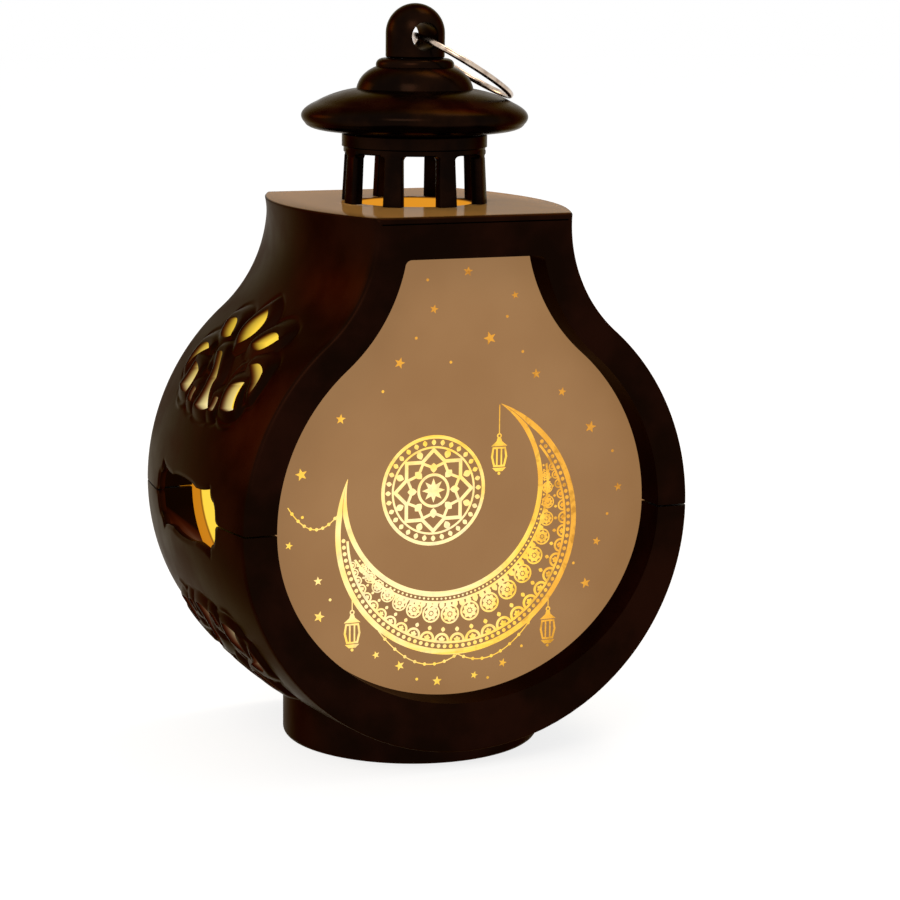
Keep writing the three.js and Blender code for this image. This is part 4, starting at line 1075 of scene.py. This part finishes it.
def printBothPanels():
    front = makePrint()
    at = vertexPlaces(front.data)
    back = addObject("back_print", front.data.copy())
    for piece, side, face in ((front, 1, lowCorner("front_panel").y), (back, -1, highCorner("back_panel").y)):
        addValues(piece.data, "lit", litAmount(at[:, 0], at[:, 2]))
        placed = (at * (side, side, 1) + (0, face, 0)) * mm
        piece.data.vertices.foreach_set("co", placed.astype(np.float32).ravel())
        piece.data.update()
        coat(piece.data, finish["foil"], 35)
        piece.data.shade_flat()
        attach(piece, "lantern")
        print(piece.name, len(piece.data.polygons), "faces")


printBothPanels()

# Roof, knob and ring
roof = {
    "brimRadius": 19.8, "brimRise": 3, "brimRound": 1.2, "slopeInset": 2.6, "domeRadius": 10.2, "domeRise": 4.7,
    "shoulderRadius": 6.6, "shoulderRise": 4.2, "seatRise": 1.1, "wall": 1.6, "spigot": 1.2, "room": 0.3,
}
knob = {
    "radius": 5.15, "hole": 2.4, "holeRise": 3.74, "flare": 0.1, "flareDepth": 1.5,
    "peg": 2, "pegLength": 2.96, "footRound": 0.3, "footGap": 0.06,
}


def makeRoof():
    room, wall, brim, inset, edge = (roof[k] for k in ("room", "wall", "brimRadius", "slopeInset", "brimRound"))
    seat, tip = highCorner("gallery").z + room, highCorner("gallery").z + roof["brimRise"]
    dome, domeRadius = tip + roof["domeRise"], roof["domeRadius"]
    shoulder, neck = dome + roof["shoulderRise"], roof["shoulderRadius"]
    top = shoulder + roof["seatRise"]
    under = curvePath((gallery["outer"] + gallery["lip"], seat), [
        ((brim - inset / 2, seat), (brim - edge / 2, tip - edge)),
        ((brim, tip - edge / 2), (brim, tip)),
    ], 10)
    over = curvePath((brim, tip), [
        ((brim, tip + edge), (brim - inset, tip + 2 * edge)),
        (((brim + domeRadius) / 2 - 1, dome - 0.5), (domeRadius, dome)),
        ((domeRadius - 0.5, shoulder - 1.6), (neck + 0.2, shoulder - 0.4)),
        ((neck + 0.4, top - 0.2), (knob["radius"] + 0.3, top)),
    ], 12)[1:]
    spigot, spigotLow, hole = gallery["inner"] - room, seat - roof["spigot"], knob["peg"] + room
    inside = [(hole, top), (hole, top - wall), (neck - wall, top - wall), (domeRadius - wall, dome - wall),
              (spigot - 1, spigotLow), (spigot, spigotLow), (spigot, seat)]
    piece = lathe("roof_looks", [*under, *over, *inside], finish["trim"], sides=144, sharpAngle=28)
    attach(piece, "lantern")
    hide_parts("roof")


def makeKnob():
    top, foot, radius = highCorner("finial_knob").z, highCorner("roof").z + knob["footGap"], knob["radius"]
    edge, peg, pegFoot = knob["footRound"], knob["peg"], foot - knob["pegLength"]
    profile = [(0, pegFoot), (peg, pegFoot), (peg, foot),
               (radius - edge, foot), *arcPoints(radius - edge, foot + edge, edge, edge, -90, 0, 4)[1:],
               *arcPoints(0, top - radius, radius, radius, 0, 90, 20)[:-1], (0, top)]
    piece = lathe("finial_knob_looks", profile, sides=112)
    centre, start = foot + knob["holeRise"], -radius - 0.1
    rings = []
    for y in (-8, *np.linspace(start, -radius + 1.4, 8)):
        reach = knob["hole"] + knob["flare"] * (1 - rounded((y - start) / knob["flareDepth"]))
        rings.append(np.array([(x, y, z) for x, z in circleLoop(reach, 0, centre, 48)]))
    rings += [ring * (1, -1, 1) for ring in reversed(rings)]
    carve(piece, loftMesh("hole", rings))
    coat(piece.data, finish["trim"], 35)
    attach(piece, "lantern")
    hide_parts("finial_knob")


makeRoof()
makeKnob()
print("roof and knob made")

ring = {"radius": 10, "wire": 0.55, "steps": 144, "sides": 20}


# The ring's place comes from the frame's own mesh: its centre and the three axes through it.
def makeRing():
    at = vertexPlaces(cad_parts["hanging_ring"].data)
    axes = Matrix(np.linalg.svd(at - at.mean(0), full_matrices=False)[2]).transposed()
    profile = arcPoints(ring["radius"], 0, ring["wire"], ring["wire"], 0, 360, ring["sides"])[:-1]
    piece = lathe("hanging_ring_looks", profile, finish["ring"], ring["steps"], 60)
    piece.data.transform(Matrix.Translation(Vector(at.mean(0)) * mm) @ axes.to_4x4())
    turnOutwards(piece.data)
    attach(piece, "ring")
    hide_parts("hanging_ring")


makeRing()

# Candle and flame. The candle's upper edge sways as wax does, in `drips` waves.
candle = {"radius": 11, "wall": 1.2, "rim": 1.2, "well": 4.4, "drips": 9, "sway": 0.18, "swayDepth": 6}
flame = {"foot": 4.4, "bellyPull": 7.5, "neckPull": 3, "wall": 1}


def makeCandle():
    low, high = lowCorner("candle_body").z, highCorner("candle_body").z
    radius, wall, well, rim = (candle[k] for k in ("radius", "wall", "well", "rim"))
    inner, brink = radius - wall, high - rim
    profile = [(inner, low), (radius - 0.2, low), (radius, low + 0.2), (radius, brink),
               *bendPoints((radius, brink), (radius, high), (radius - wall / 2, high), 5)[1:],
               *bendPoints((radius - wall / 2, high), (inner, high), (inner, brink), 5)[1:],
               (well, brink), (well - 1, brink), (well - 1, brink - 1), (inner, brink - 1)]
    piece = lathe("candle_body_looks", profile, finish["candle"])
    sway, depth = candle["sway"], candle["swayDepth"]
    for vertex in piece.data.vertices:
        x, y, z = vertex.co / mm
        if math.hypot(x, y) > inner and z > high - depth:
            wave = math.sin(candle["drips"] * math.atan2(y, x)) * rounded((z - high + depth) / depth)
            vertex.co.z += sway * (wave - (z > brink)) * mm
    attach(piece, "lantern")
    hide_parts("candle_body")


def makeFlame():
    low, high = lowCorner("flame_bulb").z, highCorner("flame_bulb").z
    height, foot = high - low, flame["foot"]
    t = np.linspace(0, 1, 33)[:, None]
    pulls = np.array([(foot, low), (flame["bellyPull"], low + height * 0.3),
                      (flame["neckPull"], low + height * 0.7), (0, high)])
    weights = [(1 - t) ** 3, 3 * t * (1 - t) ** 2, 3 * t ** 2 * (1 - t), t ** 3]
    curve = sum(w * p for w, p in zip(weights, pulls))
    profile = [(0, low + height * 0.6), (foot - flame["wall"], low), *curve[:-1], (0, high)]
    piece = lathe("flame_bulb_looks", profile, finish["flame"], sides=64)
    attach(piece, "lantern")
    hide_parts("flame_bulb")


makeCandle()
makeFlame()
print("candle made")


# Studio: white where the viewer looks, softer as light on the object. Lengths are in metres, and each lamp
# aims at a height on the upright axis.
studio = {"floor": 3, "ambient": 0.7, "floorShine": 0.79}
lamps = {
    "keyLamp": {"place": (-0.55, -0.75, 0.75), "aim": 0.05, "size": 0.5, "power": 4, "tint": (1, 0.9, 0.78)},
    "sideLamp": {"place": (-0.75, 0.75, 0.4), "aim": 0.06, "size": 0.4, "power": 2.5, "tint": (1, 0.72, 0.42)},
    "topLamp": {"place": (0.35, 0.15, 0.9), "aim": 0.06, "size": 0.4, "power": 3, "tint": (1, 0.86, 0.7)},
}


def addWorld():
    world = bpy.data.worlds.new("studio")
    bpy.context.scene.world = world
    world.use_nodes = True
    nodes = Nodes(world.node_tree)
    strength = nodes.spread(nodes.looked(), 0, 1, studio["ambient"], 1)
    nodes.feed(world.node_tree.nodes["Background"], Color=(1, 1, 1, 1), Strength=strength)


def addFloor():
    size = studio["floor"] / mm
    corners = [(-size, -size, 0), (size, -size, 0), (size, size, 0), (-size, size, 0)]
    shader = Shader("pale floor")
    shader.set(Base_Color=(0.3, 0.3, 0.3, 1), Roughness=0.9, Specular_IOR_Level=0, Emission_Color=(1, 1, 1, 1),
               Emission_Strength=shader.math("MULTIPLY", shader.looked(), studio["floorShine"]))
    addMesh("studioFloor", corners, [(0, 1, 2, 3)], shader.material)


def addLamp(name, setup):
    data = bpy.data.lights.new(name, "AREA")
    data.size, data.energy, data.color = setup["size"], setup["power"], setup["tint"]
    lamp = addObject(name, data)
    lamp.location = setup["place"]
    lamp.rotation_euler = (Vector((0, 0, setup["aim"])) - lamp.location).to_track_quat("-Z", "Y").to_euler()


addWorld()
addFloor()
for name, setup in lamps.items():
    addLamp(name, setup)
bpy.context.scene.view_settings.view_transform = "Standard"
print("studio lit")
